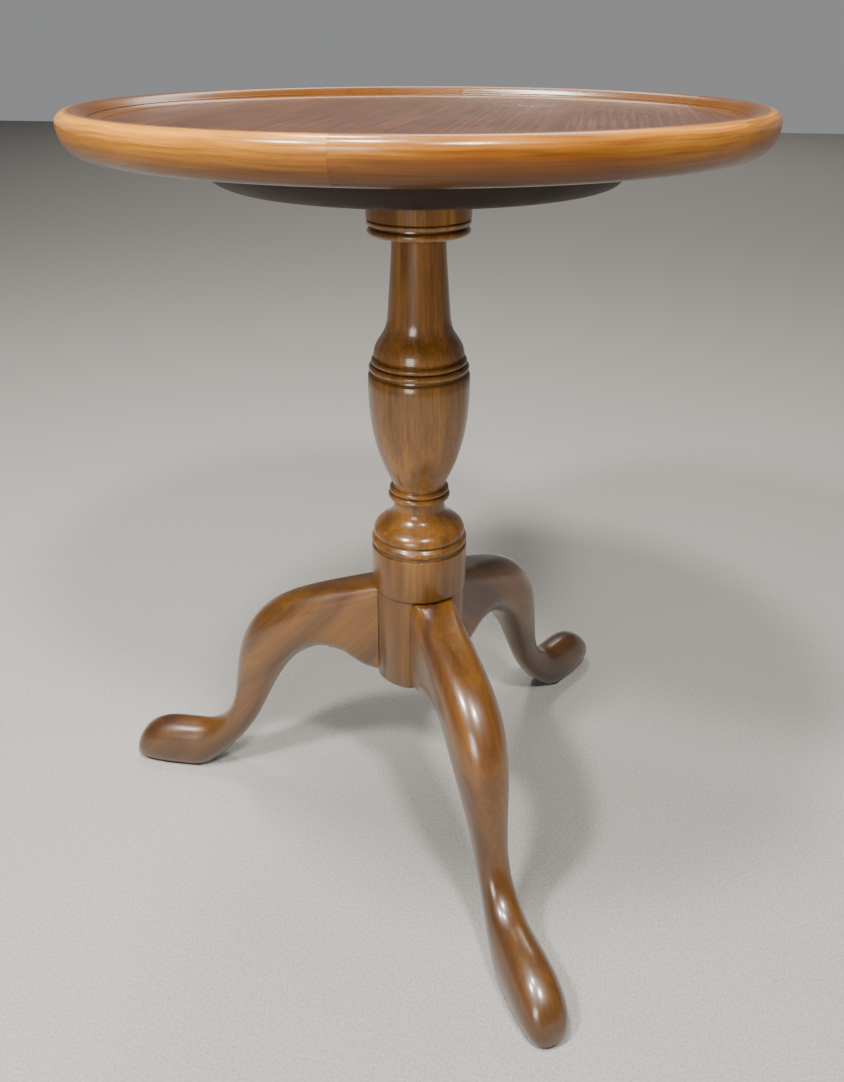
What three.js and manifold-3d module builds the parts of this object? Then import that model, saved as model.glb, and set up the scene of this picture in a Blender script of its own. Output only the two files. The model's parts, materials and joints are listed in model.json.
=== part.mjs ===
// Tilt top table: a round dished top that tips up on a pillar with three cabriole legs.
//
// Millimetres, +Z up. The floor is z = 0. One leg points along -X and the top tips about an
// axis parallel to Y. The origin is under the middle of the table's outer box, so the pillar
// stands a little to the +X side of it. Angles are in degrees round the pillar from +X.

import * as THREE from 'three';
import * as BufferGeometryUtils from 'three/addons/utils/BufferGeometryUtils.js';
import Module from 'manifold-3d';

const wasm = await Module();
wasm.setup();

// ---------------------------------------------------------------- driving dimensions

const GAP = 0.3; // between pieces that touch
const RUNNING = 0.05; // radial clearance of the pivot pins
const OVERCUT = 5; // how far a cutting shape runs past the face it cuts

// top
const TABLE_HEIGHT = 700;
const RIM_RADIUS = 281;
const RIM_THICKNESS = 31;
const RIM_WIDTH = 31; // from the board's edge to the outside of the rim
const CREST_SET = 11; // from the outside of the rim to its crest
const RIM_SEGMENTS = 6;
const DISH_DEPTH = 10;
const COVE_RISE = 3; // inside the rim, up to the step under the crest
const COVE_WIDTH = 8;
const STEP_HEIGHT = 1;

// bearers and pivot block under the top
const BEARER_THICKNESS = 30;
const BEARER_RADIUS = 191;
const BEARER_EDGE_ROUND = 29;
const BLOCK_WIDTH = 109;
const BLOCK_FIT = 0.5; // play between the block and each bearer
const PIVOT_OFFSET = 60; // from the pillar's axis towards +X
const BLOCK_TAIL = 72; // from the pillar's axis towards -X
const PIN_RADIUS = 6;
const PIN_IN_BLOCK = 30;
const PIN_IN_BEARER = 22;
const TENON_RADIUS = 21;
const WEDGE_DEPTH = 20;
const WEDGE_THICKNESS = 3;
const WEDGE_SPREAD = 9; // of each wedge from the tenon's middle
const WEDGE_TIP = 0.8; // thickness at its thin end
const BEARER_SCREW_ROW = [-110, 0, 110]; // along each bearer
const BEARER_SCREW_INSET = 45; // from the bearer's straight side

// pillar
const BAND_RADIUS = 45.5;
const BAND_BOTTOM = 255.4;
const BAND_TOP = 298;
const HUB_RADIUS = 43.5;
const HUB_BOTTOM = 156.5;
const URN_RADIUS = 46.3;
const URN_RISE = 172; // from the band's top to the urn's
const NECK_RADIUS = 24.2;
const SHAFT_RADIUS = 23.5;
const CAPITAL_RADIUS = 45.3;
const CAPITAL_HEIGHT = 44.5;

// legs
const LEG_ANGLES = [180, 300, 60];
const LEG_ROOT_WIDTH = 46;
const FOOT_REACH = 320.5;
const SOLE_THICKNESS = 5;
const SOLE_WIDTH = 31;
const SOLE_HEEL = 243; // from the pillar's axis
const SOLE_TOE_ROUND = 22;
const SOLE_TOE_SET = 2; // behind the toe
const SOLE_EASE = 4; // of the two heel corners
const TONGUE_INNER = 24; // from the pillar's axis
const TONGUE_NECK = 12;
const TONGUE_TAIL = 18;
const TONGUE_TOP = 245;
const TONGUE_LAP = 2; // into the leg's root

// iron plate under the hub
const IRON_THICKNESS = 2.5;
const IRON_ARM_WIDTH = 16;
const IRON_SCREW_PLACES = [48, 86]; // along each arm
const IRON_END = 7; // of each arm beyond its outer screw

// brass bolt that locks the top down
const BOLT_WIDTH = 12;
const BOLT_THICKNESS = 5;
const BOLT_LENGTH = 54;
const BOLT_CLEARANCE = 0.5;
const BOLT_STANDOFF = 4.5; // below the board
const BOLT_TIP_GAP = 2.2; // from the drawn bolt to the strike plate
const BOLT_ENTRY = 12; // depth of the hole in the block
const BOLT_NOSE = 2; // chamfer
const BOLT_KNOB_RADIUS = 6.5;
const BOLT_NECK_RADIUS = 2.4;
const BOLT_NECK = 4.5; // from the bar to the knob
const BOLT_TRAVEL = 10;
const CASE_LENGTH = 60;
const CASE_WIDTH = 40;
const CASE_SCREW_END = 7; // from the case's ends
const CASE_SCREW_EDGE = 6; // from its sides
const GUIDE_LENGTH = 7;
const GUIDE_WALL = 2.4;
const GUIDE_STARTS = [2, 34]; // behind the case's front end
const PLATE_THICKNESS = 1.5;
const STRIKE_WIDTH = 44;
const STRIKE_HEIGHT = 22;
const STRIKE_SCREW_END = 7; // from the strike plate's ends

// screws: length, shank radius and head radius
const BEARER_SCREW = { length: 40, shank: 2.2, head: 4.6 };
const IRON_SCREW = { length: 22, shank: 1.9, head: 3.8 };
const BRASS_SCREW = { length: 11, shank: 1.3, head: 2.7 };

// ---------------------------------------------------------------- places worked out from them

const COLUMN_X = (FOOT_REACH - RIM_RADIUS) / 2;
const UNDERSIDE = TABLE_HEIGHT - RIM_THICKNESS;
const BOARD_TOP = TABLE_HEIGHT - DISH_DEPTH;
const BOARD_RADIUS = RIM_RADIUS - RIM_WIDTH;
const BLOCK_TOP = UNDERSIDE - GAP;
const BLOCK_BOTTOM = UNDERSIDE - BEARER_THICKNESS;
const BLOCK_HALF = (BLOCK_TOP - BLOCK_BOTTOM) / 2;
const PIVOT_Z = BLOCK_BOTTOM + BLOCK_HALF;
const BEARER_FLAT = BLOCK_WIDTH / 2 + BLOCK_FIT;
const COLUMN_TOP = BLOCK_BOTTOM - GAP;
const LEG_SEAT = Math.sqrt(HUB_RADIUS ** 2 - (LEG_ROOT_WIDTH / 2 + GAP) ** 2);
const LEG_ROOT = LEG_SEAT + GAP;
const BOLT_TOP = UNDERSIDE - BOLT_STANDOFF;
const STRIKE_FACE = -BLOCK_TAIL - GAP - PLATE_THICKNESS;
const BOLT_TIP = STRIKE_FACE - BOLT_TIP_GAP;
const CASE_FRONT = BOLT_TIP - BOLT_NOSE;
const WAY_HALF = BOLT_WIDTH / 2 + BOLT_CLEARANCE; // the bolt's running way
const WAY_LOW = BOLT_TOP - BOLT_THICKNESS - BOLT_CLEARANCE;
const WAY_TOP = BOLT_TOP + BOLT_CLEARANCE;

const ROUND = 28; // sides of a turned piece
const SEGMENT_SIDES = 10; // sides of each rim segment
const WIDE_ROUND = RIM_SEGMENTS * SEGMENT_SIDES; // sides of the top, in line with the rim's
const PIN_ROUND = 24; // sides of a pivot pin
const KNOB_ROUND = 12; // sides of the bolt's knob
const SMALL_ROUND = 8; // sides of a screw

// ---------------------------------------------------------------- making solids

const radians = THREE.MathUtils.degToRad;

// A closed mesh as a solid that can be cut and joined.
function solid(geometry) {
  const bare = geometry.index ? geometry.toNonIndexed() : geometry.clone();
  bare.deleteAttribute('normal');
  bare.deleteAttribute('uv');
  const merged = BufferGeometryUtils.mergeVertices(bare, 1e-4);
  const corners = merged.index.array;
  const kept = [];
  for (let i = 0; i < corners.length; i += 3) {
    const [a, b, c] = [corners[i], corners[i + 1], corners[i + 2]];
    if (a !== b && b !== c && c !== a) kept.push(a, b, c);
  }
  return new wasm.Manifold(new wasm.Mesh({
    numProp: 3,
    vertProperties: new Float32Array(merged.attributes.position.array),
    triVerts: new Uint32Array(kept),
  }));
}

// A solid as a geometry for a mesh.
function geometryOf(body) {
  const { vertProperties, triVerts } = body.getMesh();
  const geometry = new THREE.BufferGeometry();
  geometry.setAttribute('position', new THREE.BufferAttribute(new Float32Array(vertProperties), 3));
  geometry.setIndex(new THREE.BufferAttribute(new Uint32Array(triVerts), 1));
  geometry.computeVertexNormals();
  return geometry;
}

// Turned about the Z axis from [radius, z] points that start and end on the axis, going up.
function turned(points, sides = ROUND) {
  const profile = points.map(([r, z]) => new THREE.Vector2(r, z));
  return new THREE.LatheGeometry(profile, sides).rotateX(Math.PI / 2);
}

// A shape drawn in X and Z, extruded along Y between two values.
function acrossY(shape, low, high, curveSegments = 8) {
  const options = { depth: high - low, bevelEnabled: false, curveSegments };
  return new THREE.ExtrudeGeometry(shape, options).rotateX(Math.PI / 2).translate(0, high, 0);
}

// Skins a row of rings that have the same number of points, and closes both ends with faces.
function loft(rings, endFaces) {
  const count = rings[0].length;
  const last = (rings.length - 1) * count;
  const indices = [];
  for (let base = 0; base < last; base += count) {
    for (let i = 0; i < count; i += 1) {
      const j = (i + 1) % count;
      const [a, b, c, d] = [base + i, base + j, base + count + i, base + count + j];
      indices.push(a, c, b, b, c, d);
    }
  }
  for (const [i, j, k] of endFaces) {
    indices.push(i, j, k);
    indices.push(last + i, last + k, last + j);
  }
  const geometry = new THREE.BufferGeometry();
  geometry.setAttribute('position', new THREE.Float32BufferAttribute(rings.flat(2), 3));
  geometry.setIndex(indices);
  geometry.computeVertexNormals();
  return geometry;
}

function boxBetween([x0, y0, z0], [x1, y1, z1]) {
  const box = new THREE.BoxGeometry(x1 - x0, y1 - y0, z1 - z0);
  return box.translate((x0 + x1) / 2, (y0 + y1) / 2, (z0 + z1) / 2);
}

// A countersunk screw with its head's face at z = 0 and its point up; grown makes its hole.
function screwGeometry({ length, shank, head }, grown = 0) {
  const taper = head - shank;
  const points = [
    [0, -grown * 4],
    [head + grown, -grown * 4],
    [head + grown, 0.4],
    [shank + grown, 0.4 + taper],
    [shank + grown, length * 0.75],
    [shank * 0.3 + grown, length + grown],
    [0, length + grown],
  ];
  return turned(points, SMALL_ROUND);
}

// ---------------------------------------------------------------- materials

const finish = (color, roughness, metalness = 0) =>
  new THREE.MeshStandardMaterial({ color, roughness, metalness });

const topWood = finish(0x6b3a22, 0.3);
const rimWood = finish(0xa4642c, 0.25);
const bearerWood = finish(0x2e1a12, 0.5);
const pillarWood = finish(0x7a4524, 0.3);
const legWood = finish(0x8a4a24, 0.3);
const soleWood = finish(0x5a3220, 0.5);
const iron = finish(0x3a3836, 0.6, 0.8);
const brass = finish(0xb08d4a, 0.35, 1);
const steel = finish(0x6a6662, 0.45, 1);

const table = new THREE.Group();
const atPillar = new THREE.Group(); // its own origin is on the pillar's axis, at the floor
atPillar.position.x = COLUMN_X;
table.add(atPillar);

function piece(name, geometry, material, parent = atPillar) {
  const mesh = new THREE.Mesh(geometry, material);
  mesh.name = name;
  parent.add(mesh);
  return mesh;
}

// ---------------------------------------------------------------- screws and their holes

// Each place is the middle of the head's face, in the pillar's frame.
const bearerScrewPlaces = [-1, 1].flatMap((side) =>
  BEARER_SCREW_ROW.map((x) => [x, side * (BEARER_FLAT + BEARER_SCREW_INSET), BLOCK_BOTTOM]));
const caseScrewRow = [CASE_SCREW_END, CASE_LENGTH - CASE_SCREW_END];
const caseScrewPlaces = [-1, 1].flatMap((side) => caseScrewRow.map((back) => [
  CASE_FRONT - back,
  side * (CASE_WIDTH / 2 - CASE_SCREW_EDGE),
  UNDERSIDE - GAP - PLATE_THICKNESS,
]));

const at = ([x, y, z]) => (geometry) => geometry.translate(x, y, z);
const holesFor = (kind, places) => places.map((place) => solid(at(place)(screwGeometry(kind, GAP))));

function cutAll(body, tools) {
  return tools.reduce((rest, tool) => rest.subtract(tool), body);
}

const bearerHoles = holesFor(BEARER_SCREW, bearerScrewPlaces);
const caseHoles = holesFor(BRASS_SCREW, caseScrewPlaces);

// ---------------------------------------------------------------- top board and rim

const boardPoints = [
  [0, UNDERSIDE], [BOARD_RADIUS, UNDERSIDE], [BOARD_RADIUS, BOARD_TOP], [0, BOARD_TOP]];
const board = cutAll(solid(turned(boardPoints, WIDE_ROUND)), [...bearerHoles, ...caseHoles]);
piece('top_board', geometryOf(board), topWood);

// The rim's section: flat against the board and below, a bold quarter round outside, then over
// the crest a slope, a small step and a cove down to the board.
const rimInner = BOARD_RADIUS + GAP;
const coveTop = BOARD_TOP + COVE_RISE;
const rimSection = new THREE.Shape();
rimSection.moveTo(rimInner, UNDERSIDE);
rimSection.lineTo(RIM_RADIUS - 16, UNDERSIDE);
rimSection.bezierCurveTo(
  RIM_RADIUS - 5, UNDERSIDE + 1, RIM_RADIUS, UNDERSIDE + 11, RIM_RADIUS, TABLE_HEIGHT - 8);
rimSection.bezierCurveTo(
  RIM_RADIUS, TABLE_HEIGHT - 3, RIM_RADIUS - 5, TABLE_HEIGHT, RIM_RADIUS - CREST_SET, TABLE_HEIGHT);
rimSection.bezierCurveTo(
  RIM_RADIUS - CREST_SET - 5, TABLE_HEIGHT, rimInner + COVE_WIDTH + 3, coveTop + STEP_HEIGHT + 2,
  rimInner + COVE_WIDTH + 0.6, coveTop + STEP_HEIGHT);
rimSection.lineTo(rimInner + COVE_WIDTH, coveTop);
rimSection.quadraticCurveTo(rimInner + COVE_WIDTH / 2, BOARD_TOP, rimInner, BOARD_TOP);
rimSection.lineTo(rimInner, UNDERSIDE);

// One segment is the section swept round its own share of the circle, between two radial ends.
function rimSegment(index) {
  const share = 360 / RIM_SEGMENTS;
  const endGap = THREE.MathUtils.radToDeg(GAP / BOARD_RADIUS);
  const start = radians(index * share + share / 2 + endGap / 2);
  const sweep = radians(share - endGap);
  const outline = rimSection.getPoints(3).slice(0, -1);
  const rings = [];
  for (let step = 0; step <= SEGMENT_SIDES; step += 1) {
    const angle = start + (sweep * step) / SEGMENT_SIDES;
    rings.push(outline.map((p) => [p.x * Math.cos(angle), p.x * Math.sin(angle), p.y]));
  }
  return loft(rings, THREE.ShapeUtils.triangulateShape(outline, []));
}

for (let index = 0; index < RIM_SEGMENTS; index += 1) {
  piece(`rim_segment_${index + 1}`, rimSegment(index), rimWood);
}

// ---------------------------------------------------------------- bearers

// A round disc with a rounded lower edge, split into two half moons by the block's slot.
const discProfile = new THREE.Path();
discProfile.moveTo(0, BLOCK_BOTTOM);
discProfile.lineTo(BEARER_RADIUS - BEARER_EDGE_ROUND, BLOCK_BOTTOM);
discProfile.absellipse(
  BEARER_RADIUS - BEARER_EDGE_ROUND, BLOCK_TOP, BEARER_EDGE_ROUND, BLOCK_TOP - BLOCK_BOTTOM,
  -Math.PI / 2, 0, false, 0);
discProfile.lineTo(0, BLOCK_TOP);
const disc = solid(turned(discProfile.getPoints(4).map((p) => [p.x, p.y]), WIDE_ROUND));

// The running hole of a pivot pin: along Y, its flats just clear of the pin's corners.
function pivotHole(low, high) {
  const radius = PIN_RADIUS + RUNNING;
  const clear = radius / Math.cos(Math.PI / PIN_ROUND);
  const bar = new THREE.CylinderGeometry(clear, clear, high - low, PIN_ROUND);
  return solid(bar.translate(PIVOT_OFFSET, (low + high) / 2, PIVOT_Z));
}

const sides = { front: -1, rear: 1 };
const blockEdge = BLOCK_WIDTH / 2;
for (const [name, side] of Object.entries(sides)) {
  const reach = BEARER_RADIUS + OVERCUT;
  const kept = side < 0
    ? boxBetween([-reach, -reach, BLOCK_BOTTOM - OVERCUT], [reach, -BEARER_FLAT, UNDERSIDE])
    : boxBetween([-reach, BEARER_FLAT, BLOCK_BOTTOM - OVERCUT], [reach, reach, UNDERSIDE]);
  const depth = blockEdge + PIN_IN_BEARER + GAP;
  const hole = side < 0 ? pivotHole(-depth, 0) : pivotHole(0, depth);
  const bearer = cutAll(disc.intersect(solid(kept)), [hole, ...bearerHoles]);
  piece(`bearer_${name}`, geometryOf(bearer), bearerWood);
}

bearerScrewPlaces.forEach((place, index) => {
  piece(`bearer_screw_${index + 1}`, at(place)(screwGeometry(BEARER_SCREW)), steel);
});

// ---------------------------------------------------------------- pivot block and its pins

// Its upper +X corner is rounded about the pivot and its lower one is left square, so that it
// stops the top at a quarter turn.
const blockShape = new THREE.Shape();
blockShape.moveTo(-BLOCK_TAIL, BLOCK_BOTTOM);
blockShape.lineTo(PIVOT_OFFSET + BLOCK_HALF, BLOCK_BOTTOM);
blockShape.lineTo(PIVOT_OFFSET + BLOCK_HALF, PIVOT_Z);
blockShape.absarc(PIVOT_OFFSET, PIVOT_Z, BLOCK_HALF, 0, Math.PI / 2, false);
blockShape.lineTo(-BLOCK_TAIL, BLOCK_TOP);

const strikeMiddle = BLOCK_TOP - STRIKE_HEIGHT / 2 - 1;
const strikeScrewPlaces = [-1, 1].map((side) =>
  [STRIKE_FACE, side * (STRIKE_WIDTH / 2 - STRIKE_SCREW_END), strikeMiddle]);
const alongX = (place) => (geometry) => at(place)(geometry.rotateY(Math.PI / 2));
const strikeHoles = strikeScrewPlaces.map((place) =>
  solid(alongX(place)(screwGeometry(BRASS_SCREW, GAP))));
const boltHole = solid(boxBetween(
  [STRIKE_FACE - OVERCUT, -WAY_HALF, WAY_LOW], [-BLOCK_TAIL + BOLT_ENTRY, WAY_HALF, WAY_TOP]));
const tenonHole = solid(turned([
  [0, BLOCK_BOTTOM - OVERCUT], [TENON_RADIUS + GAP, BLOCK_BOTTOM - OVERCUT],
  [TENON_RADIUS + GAP, UNDERSIDE + OVERCUT], [0, UNDERSIDE + OVERCUT]]));

const block = cutAll(solid(acrossY(blockShape, -blockEdge, blockEdge)), [
  tenonHole,
  pivotHole(-blockEdge - OVERCUT, -blockEdge + PIN_IN_BLOCK + GAP),
  pivotHole(blockEdge - PIN_IN_BLOCK - GAP, blockEdge + OVERCUT),
  boltHole,
  ...strikeHoles,
]);
piece('pivot_block', geometryOf(block), pillarWood);

for (const [name, side] of Object.entries(sides)) {
  const length = PIN_IN_BLOCK + PIN_IN_BEARER;
  const middle = side * (blockEdge - PIN_IN_BLOCK + length / 2);
  const pin = new THREE.CylinderGeometry(PIN_RADIUS, PIN_RADIUS, length, PIN_ROUND);
  piece(`pivot_pin_${name}`, pin.translate(PIVOT_OFFSET, middle, PIVOT_Z), steel);
}

// ---------------------------------------------------------------- pillar

const pillarProfile = new THREE.Path();
pillarProfile.moveTo(0, HUB_BOTTOM);
pillarProfile.lineTo(HUB_RADIUS - 2, HUB_BOTTOM);
pillarProfile.lineTo(HUB_RADIUS, HUB_BOTTOM + 2);
pillarProfile.lineTo(HUB_RADIUS, BAND_BOTTOM);
pillarProfile.lineTo(BAND_RADIUS - 0.8, BAND_BOTTOM);
pillarProfile.lineTo(BAND_RADIUS, BAND_BOTTOM + 0.8);
pillarProfile.lineTo(BAND_RADIUS, BAND_TOP);
// quirk, bead and quirk over the band
pillarProfile.lineTo(BAND_RADIUS - 2.2, BAND_TOP + 1.5);
pillarProfile.absarc(BAND_RADIUS - 4, BAND_TOP + 6.5, 4.2, -Math.PI / 3, Math.PI / 3, false);
pillarProfile.lineTo(BAND_RADIUS - 3.6, BAND_TOP + 13);
// bell up to the neck
pillarProfile.lineTo(BAND_RADIUS - 1.8, BAND_TOP + 14.2);
pillarProfile.bezierCurveTo(
  BAND_RADIUS - 2, BAND_TOP + 26, NECK_RADIUS + 2, BAND_TOP + 26, NECK_RADIUS, BAND_TOP + 40);
pillarProfile.lineTo(NECK_RADIUS, BAND_TOP + 48);
// double collar
pillarProfile.absarc(NECK_RADIUS + 1.5, BAND_TOP + 52, 3.4, -Math.PI / 2, Math.PI / 2, false);
pillarProfile.absarc(NECK_RADIUS + 1, BAND_TOP + 58.2, 2.8, -Math.PI / 2, Math.PI / 2, false);
pillarProfile.lineTo(NECK_RADIUS + 0.8, BAND_TOP + 65);
pillarProfile.lineTo(NECK_RADIUS + 2.6, BAND_TOP + 68.5);
// urn
const urnTop = BAND_TOP + URN_RISE;
pillarProfile.bezierCurveTo(
  URN_RADIUS - 8, BAND_TOP + 92, URN_RADIUS, BAND_TOP + 118, URN_RADIUS, urnTop - 10);
pillarProfile.lineTo(URN_RADIUS - 0.3, urnTop);
// two rings over the urn
pillarProfile.lineTo(URN_RADIUS - 3, urnTop + 1.5);
pillarProfile.absarc(URN_RADIUS - 4.2, urnTop + 6, 3.2, -Math.PI / 2, Math.PI / 2, false);
pillarProfile.absarc(URN_RADIUS - 5.8, urnTop + 12, 2.7, -Math.PI / 2, Math.PI / 2, false);
// flare into the shaft, which thins towards the capital
const capitalBottom = COLUMN_TOP - CAPITAL_HEIGHT;
pillarProfile.lineTo(URN_RADIUS - 5.2, urnTop + 18);
pillarProfile.bezierCurveTo(
  URN_RADIUS - 7, urnTop + 33, SHAFT_RADIUS + 6, urnTop + 33, SHAFT_RADIUS + 4.6, urnTop + 52);
pillarProfile.bezierCurveTo(
  SHAFT_RADIUS + 2.5, urnTop + 80, SHAFT_RADIUS + 0.6, capitalBottom - 20, SHAFT_RADIUS, capitalBottom);
// capital: a bead, two grooves and a plain drum
pillarProfile.lineTo(CAPITAL_RADIUS - 5, capitalBottom);
pillarProfile.absarc(CAPITAL_RADIUS - 4, capitalBottom + 3.2, 3.2, -Math.PI / 2, Math.PI / 2, false);
pillarProfile.lineTo(CAPITAL_RADIUS - 3.5, capitalBottom + 8.6);
pillarProfile.lineTo(CAPITAL_RADIUS - 0.4, capitalBottom + 9.2);
pillarProfile.lineTo(CAPITAL_RADIUS - 0.4, capitalBottom + 12);
pillarProfile.lineTo(CAPITAL_RADIUS - 1.8, capitalBottom + 13);
pillarProfile.lineTo(CAPITAL_RADIUS, capitalBottom + 14);
pillarProfile.lineTo(CAPITAL_RADIUS, COLUMN_TOP);
// tenon through the block
pillarProfile.lineTo(TENON_RADIUS, COLUMN_TOP);
pillarProfile.lineTo(TENON_RADIUS, BLOCK_TOP);
pillarProfile.lineTo(0, BLOCK_TOP);

// A dovetail prism standing along Z: its tail is nearest the pillar's axis and its neck runs
// a little way into the leg; grown makes its socket.
function dovetail(grown, low, high) {
  const outer = LEG_ROOT + TONGUE_LAP;
  const shape = new THREE.Shape();
  const neck = TONGUE_NECK / 2 + grown;
  const tail = TONGUE_TAIL / 2 + grown;
  shape.moveTo(TONGUE_INNER - grown, -tail);
  shape.lineTo(outer, -neck);
  shape.lineTo(outer, neck);
  shape.lineTo(TONGUE_INNER - grown, tail);
  const options = { depth: high - low, bevelEnabled: false };
  return solid(new THREE.ExtrudeGeometry(shape, options).translate(0, 0, low));
}

// The hub is cut flat and socketed for each leg; the tenon is sawn for its wedges.
const legCuts = LEG_ANGLES.flatMap((angle) => {
  const half = LEG_ROOT_WIDTH / 2 + GAP;
  const below = HUB_BOTTOM - OVERCUT;
  const flat = solid(boxBetween(
    [LEG_SEAT, -half, below], [HUB_RADIUS + OVERCUT, half, BAND_BOTTOM - GAP]));
  const socket = dovetail(GAP, below, TONGUE_TOP + GAP);
  return [flat.rotate([0, 0, angle]), socket.rotate([0, 0, angle])];
});

// A wedge across the tenon's end, thick at the top; grown makes its kerf.
function wedge(y, grown) {
  const half = WEDGE_THICKNESS / 2 + grown;
  const shape = new THREE.Shape();
  const tip = WEDGE_TIP / 2 + grown;
  shape.moveTo(y - half, BLOCK_TOP + grown * 4);
  shape.lineTo(y - tip, BLOCK_TOP - WEDGE_DEPTH - grown);
  shape.lineTo(y + tip, BLOCK_TOP - WEDGE_DEPTH - grown);
  shape.lineTo(y + half, BLOCK_TOP + grown * 4);
  const reach = Math.sqrt(TENON_RADIUS ** 2 - (WEDGE_SPREAD + WEDGE_THICKNESS / 2) ** 2) - 1;
  const length = grown ? (TENON_RADIUS + OVERCUT) * 2 : reach * 2;
  const options = { depth: length, bevelEnabled: false };
  const body = new THREE.ExtrudeGeometry(shape, options).translate(0, 0, -length / 2);
  return body.rotateX(Math.PI / 2).rotateZ(Math.PI / 2);
}
const wedgePlaces = [-WEDGE_SPREAD, WEDGE_SPREAD];

const pillarPoints = pillarProfile.getPoints(3).map((p) => [p.x, p.y]);
const kerfs = wedgePlaces.map((y) => solid(wedge(y, GAP)));
const pillar = cutAll(solid(turned(pillarPoints)), [...legCuts, ...kerfs]);
piece('pillar', geometryOf(pillar), pillarWood);
wedgePlaces.forEach((y, index) => piece(`tenon_wedge_${index + 1}`, wedge(y, 0), rimWood));

// ---------------------------------------------------------------- legs and soles

// Cross-sections from the hub to the toe: the middle of the upper and lower edges as
// [out from the pillar's axis, height], half the width, and how square the section is.
// The foot's lower edge runs on below the floor, which cuts it flat.
const FOOT_SQUARE = 2.2; // nearly elliptical, from the ankle to the toe
const rootTop = BAND_BOTTOM - 2;
const rootHalf = LEG_ROOT_WIDTH / 2;
const LEG_SECTIONS = [
  { upper: [LEG_ROOT, rootTop], lower: [LEG_ROOT, HUB_BOTTOM], half: rootHalf, square: 3.4 },
  { upper: [62, 247], lower: [56, 159.6], half: 24.2, square: 3.2 },
  { upper: [88.2, 240.8], lower: [76.8, 170.8], half: 24.8, square: 3 },
  { upper: [114.4, 232.8], lower: [97.4, 173.4], half: 25.4, square: 2.8 },
  { upper: [140, 222.4], lower: [116, 165.4], half: 25.8, square: 2.6 },
  { upper: [163, 205.8], lower: [131.8, 152], half: 25.6, square: 2.5 },
  { upper: [179.8, 184], lower: [145.3, 133], half: 24, square: 2.4 },
  { upper: [190.2, 157.5], lower: [157, 112], half: 20.6, square: 2.3 },
  { upper: [196, 127.6], lower: [167.8, 88.7], half: 17, square: 2.2 },
  { upper: [200.4, 98.6], lower: [180, 64.2], half: 14.8, square: FOOT_SQUARE },
  { upper: [208, 76], lower: [194.8, 42.6], half: 14.5, square: FOOT_SQUARE },
  { upper: [220.4, 60.2], lower: [212, 22.8], half: 16.2, square: FOOT_SQUARE },
  { upper: [236.6, 52], lower: [229.8, 5.3], half: 18.8, square: FOOT_SQUARE },
  { upper: [255, 50.6], lower: [246.4, -6], half: 21, square: FOOT_SQUARE },
  { upper: [274.7, 49.8], lower: [271.8, -8], half: 21.8, square: FOOT_SQUARE },
  { upper: [292, 46.3], lower: [293, -7], half: 21.2, square: FOOT_SQUARE },
  { upper: [FOOT_REACH - 13, 37.4], lower: [FOOT_REACH - 10, -3.7], half: 18.3, square: FOOT_SQUARE },
  { upper: [FOOT_REACH - 4, 25.6], lower: [FOOT_REACH - 2, 0], half: 12.4, square: FOOT_SQUARE },
  { upper: [FOOT_REACH - 0.5, 15.4], lower: [FOOT_REACH, 5], half: 4.1, square: FOOT_SQUARE },
];
const SECTION_POINTS = 12;

// The sections as rings round the leg, for a leg that points along +X.
function legRings() {
  return LEG_SECTIONS.map(({ upper, lower, half, square }) => {
    const ring = [];
    for (let i = 0; i < SECTION_POINTS; i += 1) {
      const turn = (2 * Math.PI * (i + 0.5)) / SECTION_POINTS;
      const bulge = (value) => Math.sign(value) * Math.abs(value) ** (2 / square);
      const across = bulge(Math.sin(turn));
      const share = (1 + bulge(Math.cos(turn))) / 2;
      const out = lower[0] + (upper[0] - lower[0]) * share;
      const up = lower[1] + (upper[1] - lower[1]) * share;
      ring.push([out, half * across, up]);
    }
    return ring;
  });
}

const sectionEnd = [];
for (let i = 1; i < SECTION_POINTS - 1; i += 1) sectionEnd.push([0, i, i + 1]);
const bareLeg = solid(loft(legRings(), sectionEnd));
const tongue = dovetail(0, HUB_BOTTOM, TONGUE_TOP);
const aroundFoot = FOOT_REACH + OVERCUT;
const belowFoot = solid(boxBetween(
  [0, -aroundFoot, -aroundFoot], [aroundFoot, aroundFoot, SOLE_THICKNESS + GAP]));

// A straight-sided plate with eased heel corners and a round toe.
const soleShape = new THREE.Shape();
const soleHalf = SOLE_WIDTH / 2;
const soleTip = FOOT_REACH - SOLE_TOE_SET;
soleShape.moveTo(SOLE_HEEL, -soleHalf + SOLE_EASE);
soleShape.quadraticCurveTo(SOLE_HEEL, -soleHalf, SOLE_HEEL + SOLE_EASE, -soleHalf);
soleShape.lineTo(soleTip - SOLE_TOE_ROUND, -soleHalf);
soleShape.absellipse(
  soleTip - SOLE_TOE_ROUND, 0, SOLE_TOE_ROUND, soleHalf, -Math.PI / 2, Math.PI / 2, false, 0);
soleShape.lineTo(SOLE_HEEL + SOLE_EASE, soleHalf);
soleShape.quadraticCurveTo(SOLE_HEEL, soleHalf, SOLE_HEEL, soleHalf - SOLE_EASE);

// ---------------------------------------------------------------- iron plate under the hub

// The underside of a leg at a distance from the pillar's axis: its height and its slope.
const legUnderside = new THREE.SplineCurve(
  LEG_SECTIONS.slice(0, 5).map(({ lower }) => new THREE.Vector2(...lower)));

function underside(out) {
  const samples = legUnderside.getPoints(200);
  const next = samples.findIndex((p) => p.x > out);
  const [a, b] = [samples[next - 1], samples[next]];
  const slope = (b.y - a.y) / (b.x - a.x);
  return { height: a.y + slope * (out - a.x), slope: Math.atan(slope) };
}

const armEnd = Math.max(...IRON_SCREW_PLACES) + IRON_END;
const armStops = [LEG_ROOT + 1, 45, 52, 60, 69, 78, 86, armEnd];

// A point at a depth below the underside of hub and leg, square to the surface.
function belowLeg(out, depth) {
  const { height, slope } = underside(out);
  return [out + depth * Math.sin(slope), height - depth * Math.cos(slope)];
}

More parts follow.
